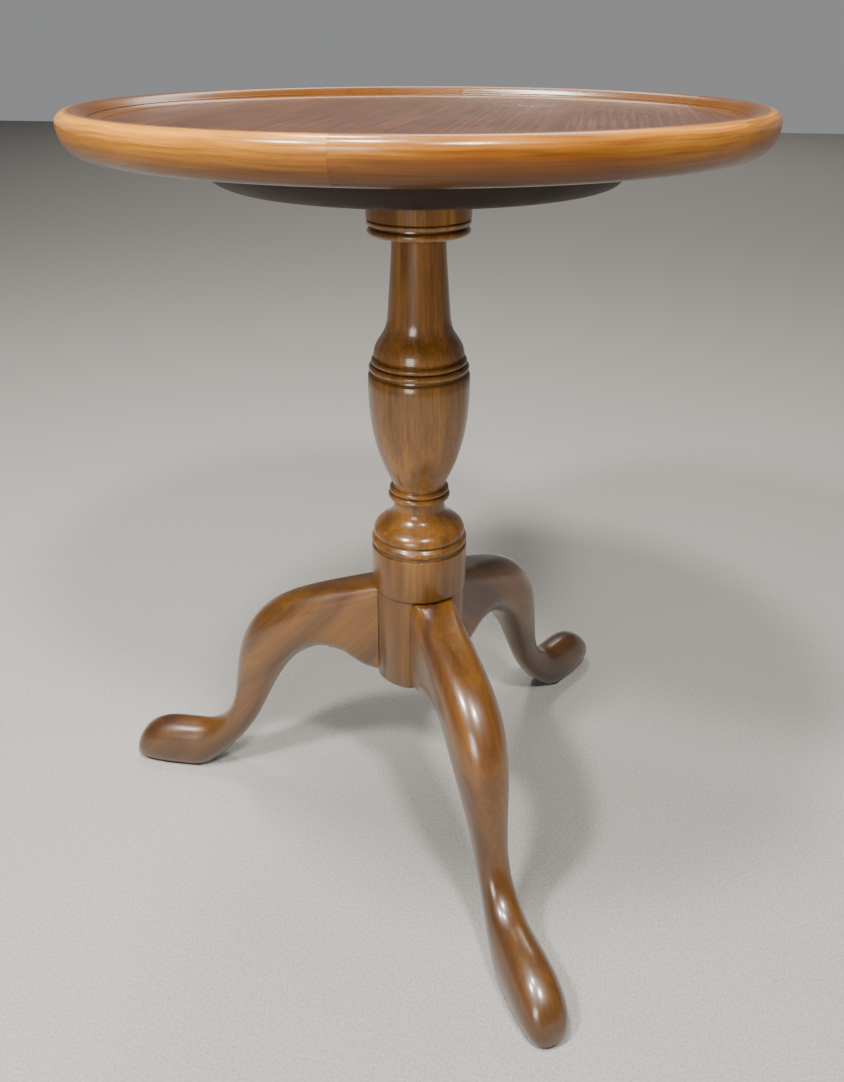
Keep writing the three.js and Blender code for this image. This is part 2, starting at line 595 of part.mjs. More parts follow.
function ironArm() {
  const shape = new THREE.Shape();
  const skin = 2 * GAP;
  shape.moveTo(-IRON_ARM_WIDTH / 2, HUB_BOTTOM - skin);
  shape.lineTo(-IRON_ARM_WIDTH / 2, HUB_BOTTOM - skin - IRON_THICKNESS);
  for (const out of armStops) shape.lineTo(...belowLeg(out, skin + IRON_THICKNESS));
  for (const out of [...armStops].reverse()) shape.lineTo(...belowLeg(out, skin));
  return solid(acrossY(shape, -IRON_ARM_WIDTH / 2, IRON_ARM_WIDTH / 2));
}

// Screws stand square to the arm, with their heads flush in its lower face.
function ironScrew(out, grown = 0) {
  const [x, z] = belowLeg(out, 2 * GAP + IRON_THICKNESS);
  return screwGeometry(IRON_SCREW, grown).rotateY(-underside(out).slope).translate(x, 0, z);
}
const ironHoles = IRON_SCREW_PLACES.map((out) => solid(ironScrew(out, GAP)));

const leg = cutAll(bareLeg.add(tongue), [belowFoot, ...ironHoles]);
const sole = new THREE.ExtrudeGeometry(
  soleShape, { depth: SOLE_THICKNESS, bevelEnabled: false, curveSegments: 8 });
const arm = cutAll(ironArm(), ironHoles);
const arms = LEG_ANGLES.map((angle) => arm.rotate([0, 0, angle]));
piece('iron_plate', geometryOf(arms.reduce((whole, one) => whole.add(one))), iron);

LEG_ANGLES.forEach((angle, index) => {
  const turn = new THREE.Group();
  turn.rotation.z = radians(angle);
  atPillar.add(turn);
  piece(`leg_${index + 1}`, geometryOf(leg), legWood, turn);
  piece(`foot_sole_${index + 1}`, sole.clone(), soleWood, turn);
  IRON_SCREW_PLACES.forEach((out, place) => {
    const ends = ['inner', 'outer'];
    piece(`iron_screw_${index + 1}_${ends[place]}`, ironScrew(out), steel, turn);
  });
});

// ---------------------------------------------------------------- brass bolt

const plate = solid(boxBetween(
  [CASE_FRONT - CASE_LENGTH, -CASE_WIDTH / 2, UNDERSIDE - GAP - PLATE_THICKNESS],
  [CASE_FRONT, CASE_WIDTH / 2, UNDERSIDE - GAP]));
const boltWay = solid(boxBetween(
  [CASE_FRONT - CASE_LENGTH - OVERCUT, -WAY_HALF, WAY_LOW],
  [CASE_FRONT + OVERCUT, WAY_HALF, WAY_TOP]));
const guides = GUIDE_STARTS.map((start) => {
  const half = WAY_HALF + GUIDE_WALL;
  const low = WAY_LOW - GUIDE_WALL;
  const end = CASE_FRONT - start;
  return solid(boxBetween([end - GUIDE_LENGTH, -half, low], [end, half, UNDERSIDE - GAP - 0.5]));
});
const boltCase = cutAll(guides.reduce((whole, one) => whole.add(one), plate), [boltWay, ...caseHoles]);
piece('bolt_case', geometryOf(boltCase), brass);
caseScrewPlaces.forEach((place, index) => {
  piece(`case_screw_${index + 1}`, at(place)(screwGeometry(BRASS_SCREW)), brass);
});

// The bolt is a flat bar with a chamfered nose and a round knob on a neck below it.
const knobPlace = CASE_FRONT - GUIDE_STARTS[0] - GUIDE_LENGTH - BOLT_TRAVEL - BOLT_NECK_RADIUS - 1.5;
const barShape = new THREE.Shape();
barShape.moveTo(BOLT_TIP - BOLT_LENGTH, BOLT_TOP - BOLT_THICKNESS);
barShape.lineTo(BOLT_TIP - BOLT_NOSE, BOLT_TOP - BOLT_THICKNESS);
barShape.lineTo(BOLT_TIP, BOLT_TOP - BOLT_THICKNESS + BOLT_NOSE);
barShape.lineTo(BOLT_TIP, BOLT_TOP);
barShape.lineTo(BOLT_TIP - BOLT_LENGTH, BOLT_TOP);
const bar = solid(acrossY(barShape, -BOLT_WIDTH / 2, BOLT_WIDTH / 2));
const knobProfile = new THREE.Path();
knobProfile.absarc(0, -BOLT_NECK - BOLT_KNOB_RADIUS + 1, BOLT_KNOB_RADIUS, -Math.PI / 2, 1.17, false);
knobProfile.lineTo(BOLT_NECK_RADIUS, 1);
knobProfile.lineTo(0, 1);
const knobPoints = knobProfile.getPoints(6).map((p) => [Math.max(p.x, 0), p.y]);
const knob = solid(turned(knobPoints, KNOB_ROUND).translate(knobPlace, 0, BOLT_TOP - BOLT_THICKNESS));
piece('slide_bolt', geometryOf(bar.add(knob)), brass);

const strike = cutAll(solid(boxBetween(
  [STRIKE_FACE, -STRIKE_WIDTH / 2, BLOCK_TOP - STRIKE_HEIGHT],
  [STRIKE_FACE + PLATE_THICKNESS, STRIKE_WIDTH / 2, BLOCK_TOP])), [boltHole, ...strikeHoles]);
piece('strike_plate', geometryOf(strike), brass);
strikeScrewPlaces.forEach((place, index) => {
  piece(`strike_screw_${index + 1}`, alongX(place)(screwGeometry(BRASS_SCREW)), brass);
});

export default table;
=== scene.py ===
"""Tilt top table: a round dished top that tips up on a turned pillar with three cabriole legs.

Every piece is modelled round the frame's own parts and rides on their bodies. Sizes in this file
are millimetres, measured from the pillar's axis and the floor, and MM turns them into metres.
"""

import json
import math

import bmesh
import bpy
from mathutils import Matrix, Vector

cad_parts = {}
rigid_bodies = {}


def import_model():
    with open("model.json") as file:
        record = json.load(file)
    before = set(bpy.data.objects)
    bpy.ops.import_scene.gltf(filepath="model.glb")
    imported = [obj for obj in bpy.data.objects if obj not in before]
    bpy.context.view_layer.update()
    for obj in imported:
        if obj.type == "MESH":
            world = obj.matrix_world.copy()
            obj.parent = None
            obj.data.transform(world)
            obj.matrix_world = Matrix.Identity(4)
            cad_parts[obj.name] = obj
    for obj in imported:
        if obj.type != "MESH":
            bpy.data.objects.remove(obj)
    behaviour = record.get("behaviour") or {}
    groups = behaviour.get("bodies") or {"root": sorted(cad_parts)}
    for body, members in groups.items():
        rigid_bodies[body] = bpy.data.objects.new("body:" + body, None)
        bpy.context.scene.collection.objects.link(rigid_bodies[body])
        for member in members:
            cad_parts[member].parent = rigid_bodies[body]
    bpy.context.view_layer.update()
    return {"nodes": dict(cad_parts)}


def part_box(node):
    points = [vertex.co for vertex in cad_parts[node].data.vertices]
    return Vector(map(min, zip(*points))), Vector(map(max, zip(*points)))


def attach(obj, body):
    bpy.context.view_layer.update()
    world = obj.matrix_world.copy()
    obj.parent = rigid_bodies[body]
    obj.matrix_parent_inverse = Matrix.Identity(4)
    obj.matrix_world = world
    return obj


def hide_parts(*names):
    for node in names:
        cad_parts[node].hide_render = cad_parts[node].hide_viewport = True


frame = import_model()

bl_info = {
    "name": "Tilt top table",
    "version": (1, 0, 0),
    "blender": (4, 5, 0),
    "location": "View3D > Sidebar > Tilt top table",
    "description": "Builds a round table whose dished top tips up on a pillar with three legs",
    "category": "Add Mesh",
}

# ---- places taken from the frame

MM = 0.001
GAP = 0.3 * MM  # between pieces that touch
RIM_JOINT = 0.1 * MM  # open joint between rim segments


def low(node):
    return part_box(node)[0]


def high(node):
    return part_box(node)[1]


AXIS = Vector(((low("pillar").x + high("pillar").x) / 2, 0, 0))
TABLE_TOP = high("rim_segment_1").z
UNDERSIDE = low("top_board").z
BOARD_TOP = high("top_board").z
BOARD_RADIUS = high("top_board").y
RIM_RADIUS = high("rim_segment_6").x - AXIS.x
BLOCK_LOW = low("pivot_block")
BLOCK_HIGH = high("pivot_block")
BEARER_RADIUS = high("bearer_rear").x - AXIS.x
BEARER_FLAT = low("bearer_rear").y
HUB_BOTTOM = low("pillar").z
SOLE_TOP = high("foot_sole_1").z
PIVOT_Z = (low("pivot_pin_front").z + high("pivot_pin_front").z) / 2
FOOT_REACH = AXIS.x - low("leg_1").x
LEG_TURNS = (180, 300, 60)  # degrees round the pillar from +X
SEGMENTS = 6
CORNER = 50  # degrees, the sharpness of a piece's outer edges
BEARER_ROUND = 29  # how far the bearers' lower edge curves in
BEARER_SIDES = 144
LEG_GRAIN_FALL = math.radians(48)
SOLE_TOE = 22 * MM
SOLE_HEEL = 4 * MM
BOLT_WAY = 0.5 * MM  # open all round the bolt in the block
BOLT_WAY_DEEP = 12 * MM
BOLT_HALF_WIDTH = 6 * MM
BOLT_THICK = 5 * MM
BOLT_NOSE = 2 * MM
KNOB_RADIUS = 6.5
KNOB_NECK = 2.4

# ---- sizes and colours to change


def length(name, about, default):
    return bpy.props.FloatProperty(
        name=name, description=about, default=default, subtype="DISTANCE", unit="LENGTH")


def colour(name, default):
    return bpy.props.FloatVectorProperty(
        name=name, default=default, subtype="COLOR", min=0, max=1)


class TableSizes(bpy.types.PropertyGroup):
    """Sizes that shape the finished pieces"""

    turned_sides: bpy.props.IntProperty(
        name="Turned sides", description="Sides of the pillar's turnings", default=112)
    rim_sides: bpy.props.IntProperty(
        name="Rim sides", description="Sides of each rim segment", default=28)
    leg_rings: bpy.props.IntProperty(
        name="Leg rings", description="Rings between two sections of a leg", default=3)
    eased_edge: length("Eased edge", "Rounding of the wooden edges", 0.8 * MM)
    metal_edge: length("Metal edge", "Rounding of the metal edges", 0.35 * MM)


class TableColours(bpy.types.PropertyGroup):
    """Colours of the woods and metals; a wood has a pale and a deep one"""

    rim: colour("Rim", (0.52, 0.215, 0.022))
    rim_deep: colour("Rim, deep", (0.22, 0.071, 0.006))
    board: colour("Board", (0.105, 0.039, 0.0155))
    board_deep: colour("Board, deep", (0.024, 0.008, 0.0036))
    pillar: colour("Pillar", (0.37, 0.163, 0.027))
    pillar_deep: colour("Pillar, deep", (0.14, 0.055, 0.0075))
    leg: colour("Legs", (0.155, 0.061, 0.0045))
    leg_deep: colour("Legs, deep", (0.043, 0.0142, 0.0014))
    # The bearers' colours are painted shade: as dark as the shadow under the top makes them.
    bearer: colour("Bearers", (0.018, 0.0078, 0.0036))
    bearer_deep: colour("Bearers, deep", (0.008, 0.0034, 0.0018))
    sole: colour("Soles", (0.1, 0.045, 0.02))
    brass: colour("Brass", (0.62, 0.42, 0.16))
    iron: colour("Iron", (0.07, 0.06, 0.055))
    steel: colour("Steel", (0.3, 0.28, 0.26))


def sizes():
    return bpy.context.scene.tilt_top_sizes


def colours():
    return bpy.context.scene.tilt_top_colours


# ---- modelling helpers


def nothing_selected():
    if bpy.context.object and bpy.context.object.mode == "EDIT":
        bpy.ops.object.mode_set(mode="OBJECT")
    bpy.ops.object.select_all(action="DESELECT")


def only(piece):
    """Selects one object alone and makes it the active one."""
    nothing_selected()
    piece.select_set(True)
    bpy.context.view_layer.objects.active = piece


def remove(piece):
    only(piece)
    bpy.ops.object.delete()


def pick_all():
    bpy.ops.mesh.select_all(action="SELECT")


def edit():
    bpy.ops.object.mode_set(mode="EDIT")
    bpy.ops.mesh.select_mode(type="VERT")
    pick_all()


def pick(kind, test):
    """Selects the vertices, edges or faces whose middle passes a test, in world places."""
    bpy.ops.mesh.select_mode(type=kind)
    bpy.ops.mesh.select_all(action="DESELECT")
    holder = bpy.context.edit_object
    mesh = bmesh.from_edit_mesh(holder.data)
    for item in {"VERT": mesh.verts, "EDGE": mesh.edges, "FACE": mesh.faces}[kind]:
        corners = [item] if kind == "VERT" else item.verts
        middle = sum((v.co for v in corners), Vector()) / len(corners)
        if test(holder.matrix_world @ middle, item):
            item.select_set(True)
    mesh.select_flush_mode()
    bmesh.update_edit_mesh(holder.data)


def ease(offset, segments=2, clamp=False):
    """Rounds the picked edges."""
    bpy.ops.mesh.bevel(offset=offset, segments=segments, affect="EDGES", clamp_overlap=clamp)


def ease_sharp(offset, angle=30, clamp=False):
    """Rounds every edge that is sharper than an angle in degrees."""
    bpy.ops.mesh.select_mode(type="EDGE")
    bpy.ops.mesh.select_all(action="DESELECT")
    bpy.ops.mesh.edges_select_sharp(sharpness=math.radians(angle))
    ease(offset, clamp=clamp)


def extrude(step):
    bpy.ops.mesh.extrude_region_move(TRANSFORM_OT_translate={"value": step})


def drawn_out(points):
    """Starts a mesh as one point and draws it out through places, leaving edit mode on."""
    nothing_selected()
    bpy.ops.mesh.primitive_plane_add(size=MM, location=points[0])
    edit()
    bpy.ops.mesh.merge(type="CENTER")
    for before, after in zip(points, points[1:]):
        extrude(Vector(after) - Vector(before))


def spun(points, steps, axis=AXIS):
    """Spins [radius, height] points, in millimetres, about an upright axis, in edit mode."""
    drawn_out([(axis.x + r * MM, axis.y, z * MM) for r, z in points])
    pick_all()
    bpy.ops.mesh.spin(steps=steps, angle=math.tau, center=axis, axis=(0, 0, 1))
    clean()


def clean():
    pick_all()
    bpy.ops.mesh.remove_doubles(threshold=0.004 * MM)
    bpy.ops.mesh.normals_make_consistent(inside=False)


def finished(name, smooth=35):
    """Ends a piece: object mode, its place in its mesh, its name and its shading."""
    if bpy.context.object.mode == "EDIT":
        bpy.ops.object.mode_set(mode="OBJECT")
    bpy.ops.object.transform_apply(location=True, rotation=True, scale=True)
    bpy.ops.object.shade_smooth_by_angle(angle=math.radians(smooth))
    piece = bpy.context.object
    piece.name = name
    piece.data.name = name
    return piece


def copy_of(piece, name, place):
    """A copy with its own mesh, moved by a matrix."""
    only(piece)
    bpy.ops.object.duplicate(linked=False)
    made = bpy.context.object
    made.matrix_world = place @ made.matrix_world
    bpy.ops.object.transform_apply(location=True, rotation=True, scale=True)
    made.name = name
    made.data.name = name
    return made


def joined(first, *others):
    only(first)
    for piece in others:
        piece.select_set(True)
    bpy.ops.object.join()
    return first


def cut(piece, tool):
    """Takes a tool's shape out of a piece and deletes the tool."""
    only(piece)
    modifier = piece.modifiers.new("Cut", "BOOLEAN")
    modifier.operation = "DIFFERENCE"
    modifier.solver = "EXACT"
    modifier.object = tool
    bpy.ops.object.modifier_apply(modifier=modifier.name)
    remove(tool)
    return piece


def block_between(a, b):
    """A cube pulled out between two corners, left in edit mode."""
    nothing_selected()
    middle = (Vector(a) + Vector(b)) / 2
    bpy.ops.mesh.primitive_cube_add(size=1, location=middle)
    edit()
    bpy.ops.transform.resize(value=Vector(b) - Vector(a), center_override=middle)


def post(radius, foot, top, sides):
    """A round post on the pillar's axis, left in edit mode."""
    nothing_selected()
    bpy.ops.mesh.primitive_circle_add(
        vertices=sides, radius=radius, fill_type="NGON", location=(AXIS.x, 0, foot))
    edit()
    extrude((0, 0, top - foot))


def merged_copy(node, name, edge):
    """A frame part's own shape with its loose triangles merged and its sharp edges rounded."""
    only(frame["nodes"][node])
    bpy.ops.object.duplicate(linked=False)
    bpy.ops.object.parent_clear(type="CLEAR_KEEP_TRANSFORM")
    made = bpy.context.object
    for key in list(made.keys()):
        del made[key]
    edit()
    clean()
    bpy.ops.mesh.dissolve_limited(angle_limit=math.radians(1))
    ease_sharp(edge, clamp=True)
    return finished(name)


def give_finish(piece, name):
    piece.data.materials.clear()
    piece.data.materials.append(finish(name))


def place_piece(piece, body, finish_name, node):
    """Gives a piece its finish and body, and hides the frame's part that it stands for."""
    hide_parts(node)
    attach(piece, body)
    give_finish(piece, finish_name)


def copies_round(master, name, node, turns, shift, body, finish_name):
    """Copies a master round the pillar, each copy with other grain, and removes the master."""
    for index, turn in enumerate(turns):
        piece = copy_of(master, f"{name}_{index + 1}", turn_about_pillar(turn))
        shift_grain(piece, index * Vector(shift))
        place_piece(piece, body, finish_name, f"{node}_{index + 1}")
    remove(master)


def set_grain(piece, along):
    """Stores each corner's place along the grain as the piece's own grain attribute."""
    grain = piece.data.attributes.new("grain", "FLOAT_VECTOR", "POINT")
    for corner, item in zip(piece.data.vertices, grain.data):
        item.vector = along @ corner.co


def bend_grain(piece, across):
    """Lays the grain round the pillar: along the arc from a direction, then outwards, then up."""
    grain = piece.data.attributes.new("grain", "FLOAT_VECTOR", "POINT")
    for corner, item in zip(piece.data.vertices, grain.data):
        place = corner.co - AXIS
        turn = (math.atan2(place.y, place.x) - across + math.pi) % math.tau - math.pi
        item.vector = (turn * RIM_RADIUS, math.hypot(place.x, place.y), place.z)


def shift_grain(piece, shift):
    """Moves the grain on, so that copies of a piece differ."""
    for item in piece.data.attributes["grain"].data:
        item.vector = Vector(item.vector) + Vector(shift)


def turn_about_pillar(degrees):
    """The matrix that turns a thing round the pillar's axis."""
    there = Matrix.Translation(AXIS)
    return there @ Matrix.Rotation(math.radians(degrees), 4, "Z") @ there.inverted()


# ---- outlines, in millimetres


def arc(across, up, radius, start, end, steps=8):
    """Points round a centre from one angle to another, in degrees."""
    turns = (math.radians(start + (end - start) * i / steps) for i in range(steps + 1))
    return [(across + radius * math.cos(t), up + radius * math.sin(t)) for t in turns]


def curve(a, b, c, d, steps=10):
    """Points on the cubic curve from a to d that leaves a towards b and comes to d from c."""
    points = []
    for i in range(1, steps + 1):
        t = i / steps
        weights = ((1 - t) ** 3, 3 * t * (1 - t) ** 2, 3 * t * t * (1 - t), t**3)
        points.append(tuple(sum(w * p[k] for w, p in zip(weights, (a, b, c, d))) for k in (0, 1)))
    return points


BAND = 45.5
BAND_TOP = 298
BAND_BOTTOM = 255.4
HUB = 43.5
NECK = 24.2
URN = 46.3
URN_TOP = BAND_TOP + 172
SHAFT = 23.5
CAPITAL = 45.3
TENON = 21
COLUMN_TOP = BLOCK_LOW.z / MM - 0.3
CAPITAL_FOOT = COLUMN_TOP - 44.5


def moved(points, out, up):
    """Points that are given from another place, so far out and so far up."""
    return [(out + r, up + z) for r, z in points]


def pillar_outline():
    """The turned pillar from the band over the hub up to the top of the capital."""
    bell_foot = (BAND - 1.8, BAND_TOP + 14.2)
    bell_neck = (NECK, BAND_TOP + 40)
    urn_foot = (NECK + 2.6, BAND_TOP + 68.5)
    urn_side = (URN, URN_TOP - 10)
    flare_foot = (URN - 5.2, URN_TOP + 18)
    flare_top = (SHAFT + 4.6, URN_TOP + 52)
    shaft_top = (SHAFT, CAPITAL_FOOT)
    band_foot = moved([(-1, 0), *arc(-0.8, 0.8, 0.8, -80, 0, 3)], BAND, BAND_BOTTOM)
    band_rings = moved([
        *arc(-0.5, -0.5, 0.5, 0, 80, 3), (-2, 0.4), (-2.3, 1.6),
        *arc(-4, 6.5, 4.2, -62, 62, 10), (-3, 11.4), (-3.6, 12.6), (-2.4, 13.1)], BAND, BAND_TOP)
    neck_rings = moved([
        (0, 47.4), *arc(1.5, 52, 3.4, -80, 80, 9), (1, 55.6),
        *arc(1, 58.2, 2.8, -75, 80, 9), (0.5, 61.4), (0.8, 65)], NECK, BAND_TOP)
    urn_rings = moved([
        (-0.2, -1.2), (-1, 0), (-3.6, 1.2), (-4, 2.6), *arc(-4.2, 6, 3.2, -75, 75, 9), (-5.4, 9.2),
        *arc(-5.8, 12, 2.7, -70, 75, 8), (-6.6, 14.9), (-6.2, 16.6)], URN, URN_TOP)
    capital_rings = moved([
        (-5, 0), *arc(-4, 3.2, 3.2, -80, 80, 9), (-4.6, 6.9), (-4.8, 8.6), (-0.7, 9), (-0.4, 9.4),
        (-0.4, 11.8), (-0.8, 12.2), (-2.2, 13), (-0.5, 13.8), (0, 14.3)], CAPITAL, CAPITAL_FOOT)
    return [
        (0, BAND_BOTTOM),
        *band_foot,
        *band_rings,
        bell_foot,
        *curve(bell_foot, (BAND - 2, BAND_TOP + 26), (NECK + 2, BAND_TOP + 26), bell_neck, 16),
        *neck_rings,
        urn_foot,
        *curve(urn_foot, (URN - 8, BAND_TOP + 92), (URN, BAND_TOP + 118), urn_side, 18),
        *urn_rings,
        flare_foot,
        *curve(flare_foot, (URN - 7, URN_TOP + 33), (SHAFT + 6, URN_TOP + 33), flare_top, 12),
        *curve(flare_top, (SHAFT + 2.5, URN_TOP + 80), (SHAFT + 0.6, CAPITAL_FOOT - 20), shaft_top, 8),
        (SHAFT + 0.6, CAPITAL_FOOT),
        *capital_rings,
        (CAPITAL, COLUMN_TOP - 0.6),
        (CAPITAL - 0.6, COLUMN_TOP),
        (0, COLUMN_TOP),
    ]


def rim_outline():
    """The rim's section, from the foot of its inner side round the outside to the cove."""
    inner = (BOARD_RADIUS + GAP) / MM
    outside = RIM_RADIUS / MM
    foot, top, board = UNDERSIDE / MM, TABLE_TOP / MM, BOARD_TOP / MM
    crest = outside - 11
    cove, step = board + 3, board + 4
    under = (outside - 16, foot)
    belly = (outside, top - 8)
    return [
        (inner, foot),
        under,
        *curve(under, (outside - 5, foot + 1), (outside, foot + 11), belly, 14),
        *curve(belly, (outside, top - 3), (outside - 5, top), (crest, top), 10),
        *curve((crest, top), (crest - 5, top), (inner + 11, step + 2), (inner + 8.6, step), 10),
        (inner + 8.2, step - 0.2),
        (inner + 8, cove),
        *curve((inner + 8, cove), (inner + 5.4, board + 0.9), (inner + 2.6, board), (inner, board), 8),
    ]


# Sections of a leg from hub to toe: [out, up] of the middle of its upper and lower edges, half
# its width, and how far its corners are rounded (a half is an ellipse).
TOE = FOOT_REACH / MM
LEG_ROOT = 37.2
LEG_SECTIONS = [
    ((LEG_ROOT, 253.4), (LEG_ROOT, HUB_BOTTOM / MM), 23, 0.16),
    ((62, 247), (56, 159.6), 24.2, 0.24),
    ((88.2, 240.8), (76.8, 170.8), 24.8, 0.34),
    ((114.4, 232.8), (97.4, 173.4), 25.4, 0.4),
    ((140, 222.4), (116, 165.4), 25.8, 0.44),
    ((163, 205.8), (131.8, 152), 25.6, 0.45),
    ((179.8, 184), (145.3, 133), 24, 0.46),
    ((190.2, 157.5), (157, 112), 20.6, 0.46),
    ((196, 127.6), (167.8, 88.7), 17, 0.46),
    ((200.4, 98.6), (180, 64.2), 14.8, 0.46),
    ((208, 76), (194.8, 42.6), 14.5, 0.46),
    ((220.4, 60.2), (212, 22.8), 16.2, 0.46),
    ((236.6, 52), (229.8, 5.3), 18.8, 0.46),
    ((255, 50.6), (246.4, -6), 21, 0.46),
    ((274.7, 49.8), (271.8, -8), 21.8, 0.46),
    ((292, 46.3), (293, -7), 21.2, 0.46),
    ((TOE - 13, 37.4), (TOE - 10, -3.7), 18.2, 0.46),
    ((TOE - 4, 25.6), (TOE - 2, 0), 12.3, 0.46),
    ((TOE - 0.6, 15.4), (TOE - 0.3, 5), 4.1, 0.46),
]


def leg_sections(between):
    """The leg's sections with more worked in between them, on a smooth curve through all."""
    rows = [(*upper, *lower, half, rounding) for upper, lower, half, rounding in LEG_SECTIONS]
    made = []
    for i in range(len(rows) - 1):
        before, a, b = rows[max(i - 1, 0)], rows[i], rows[i + 1]
        after = rows[min(i + 2, len(rows) - 1)]
        for step in range(between):
            t = step / between
            made.append([
                0.5 * (2 * q + (r - p) * t + (2 * p - 5 * q + 4 * r - s) * t * t
                       + (3 * q - p - 3 * r + s) * t**3)
                for p, q, r, s in zip(before, a, b, after)])
    return [*made, list(rows[-1])]


# ---- shader nodes


def add_node(tree, kind, inputs=None, **settings):
    """Adds a node, sets its properties, and links or fills its inputs."""
    made = tree.nodes.new(kind)
    for key, value in settings.items():
        setattr(made, key, value)
    for key, value in (inputs or {}).items():
        if isinstance(value, bpy.types.NodeSocket):
            tree.links.new(value, made.inputs[key])
        else:
            made.inputs[key].default_value = value
    return made


def noise(tree, vector, scale, detail=2.0, roughness=0.5, distortion=0.0):
    inputs = {"Vector": vector, "Scale": scale, "Detail": detail, "Roughness": roughness,
              "Distortion": distortion}
    return add_node(tree, "ShaderNodeTexNoise", inputs).outputs["Fac"]


def object_place(tree):
    return add_node(tree, "ShaderNodeTexCoord").outputs["Object"]


def vector_maths(tree, operation, inputs, output="Vector"):
    return add_node(tree, "ShaderNodeVectorMath", inputs, operation=operation).outputs[output]


def stretch(tree, vector, amount):
    return vector_maths(tree, "MULTIPLY", {0: vector, 1: amount})


def up_of(tree, vector):
    return add_node(tree, "ShaderNodeSeparateXYZ", {0: vector}).outputs["Z"]


def spread(tree, value, low_end, high_end, low_out=0.0, high_out=1.0):
    inputs = {"Value": value, "From Min": low_end, "From Max": high_end, "To Min": low_out,
              "To Max": high_out}
    return add_node(tree, "ShaderNodeMapRange", inputs).outputs["Result"]


def maths(tree, operation, a, b):
    return add_node(tree, "ShaderNodeMath", {0: a, 1: b}, operation=operation).outputs[0]


def blend(tree, share, a, b):
    """Mixes two colours, from a at no share to b at a full one."""
    made = add_node(tree, "ShaderNodeMix", {"Factor": share}, data_type="RGBA")
    for index, value in ((6, a), (7, b)):
        if isinstance(value, bpy.types.NodeSocket):
            tree.links.new(value, made.inputs[index])
        else:
            made.inputs[index].default_value = value
    return made.outputs[2]


def new_group(name, inputs, outputs):
    """A node group with its sockets, its input node's outputs and its output node."""
    group = bpy.data.node_groups.new(name, "ShaderNodeTree")
    for socket, kind in inputs:
        group.interface.new_socket(socket, in_out="INPUT", socket_type=kind)
    for socket, kind in outputs:
        group.interface.new_socket(socket, in_out="OUTPUT", socket_type=kind)
    return group, group.nodes.new("NodeGroupInput").outputs, group.nodes.new("NodeGroupOutput").inputs


FLOAT, COLOUR, VECTOR = "NodeSocketFloat", "NodeSocketColor", "NodeSocketVector"


def wood_group():
    """Wood with its grain along X: broad bands, fine fibres and short open pores."""
    group, given, out = new_group(
        "Wood grain",
        [("Vector", VECTOR), ("Pale", COLOUR), ("Deep", COLOUR), ("Band Scale", FLOAT),
         ("Bands", FLOAT), ("Fibre Scale", FLOAT), ("Fibre", FLOAT), ("Pores", FLOAT),
         ("Sway", FLOAT)],
        [("Color", COLOUR), ("Height", FLOAT)])
    wander = add_node(group, "ShaderNodeTexNoise", {"Vector": given["Vector"], "Scale": 5.0})
    sway = vector_maths(group, "SUBTRACT", {0: wander.outputs["Color"], 1: (0.5, 0.5, 0.5)})
    sway = stretch(group, sway, (0, 1, 1))
    sway = vector_maths(group, "SCALE", {0: sway, "Scale": given["Sway"]})
    place = vector_maths(group, "ADD", {0: given["Vector"], 1: sway})
    bands = noise(group, stretch(group, place, (0.07, 1, 1)), given["Band Scale"], 3.0, 0.55, 0.4)
    bands = spread(group, bands, 0.32, 0.7)
    tone = noise(group, stretch(group, place, (0.3, 1, 1)), 7.0, 1.0)
    bands = maths(group, "ADD", bands, spread(group, tone, 0.3, 0.7, -0.35, 0.35))
    bands = maths(group, "MULTIPLY", bands, given["Bands"])
    fibres = noise(group, stretch(group, place, (0.02, 1, 1)), given["Fibre Scale"], 3.0, 0.6)
    fibres = spread(group, fibres, 0.3, 0.72)
    pores = noise(group, stretch(group, place, (0.09, 1, 1)), 1500.0, 1.0)
    pores = spread(group, pores, 0.6, 0.7)
    patches = spread(group, noise(group, stretch(group, place, (0.25, 1, 1)), 60.0, 1.0), 0.2, 0.75)
    pores = maths(group, "MULTIPLY", pores, patches)
    colour_now = blend(group, bands, given["Pale"], given["Deep"])
    dark = blend(group, 0.72, colour_now, (0.02, 0.008, 0.004, 1))
    shade = maths(group, "MULTIPLY", fibres, given["Fibre"])
    colour_now = blend(group, shade, colour_now, dark)
    mask = maths(group, "MULTIPLY", pores, given["Pores"])
    colour_now = blend(group, mask, colour_now, dark)
    ridges = maths(group, "MULTIPLY", fibres, -0.35)
    pits = maths(group, "MULTIPLY", mask, -1.0)
    group.links.new(colour_now, out["Color"])
    group.links.new(maths(group, "ADD", ridges, pits), out["Height"])
    return group


def polish_group():
    """A rubbed finish: slow changes of gloss, faint rubbing marks and a little settled dust."""
    group, given, out = new_group(
        "Rubbed polish",
        [("Vector", VECTOR), ("Gloss", FLOAT), ("Change", FLOAT), ("Dust", FLOAT)],
        [("Roughness", FLOAT), ("Dust Mask", FLOAT)])
    slow = spread(group, noise(group, given["Vector"], 14.0, 3.0), 0.3, 0.7, -0.5, 0.5)
    rubbed = noise(group, stretch(group, given["Vector"], (0.15, 1, 1)), 260.0, 2.0)
    rubbed = spread(group, rubbed, 0.5, 0.8, 0.0, 0.35)
    change = maths(group, "MULTIPLY", maths(group, "ADD", slow, rubbed), given["Change"])
    specks = spread(group, noise(group, given["Vector"], 900.0, 2.0), 0.55, 0.72)
    dust = maths(group, "MULTIPLY", specks, given["Dust"])
    rough = maths(group, "ADD", maths(group, "ADD", given["Gloss"], change), dust)
    group.links.new(rough, out["Roughness"])
    group.links.new(dust, out["Dust Mask"])
    return group


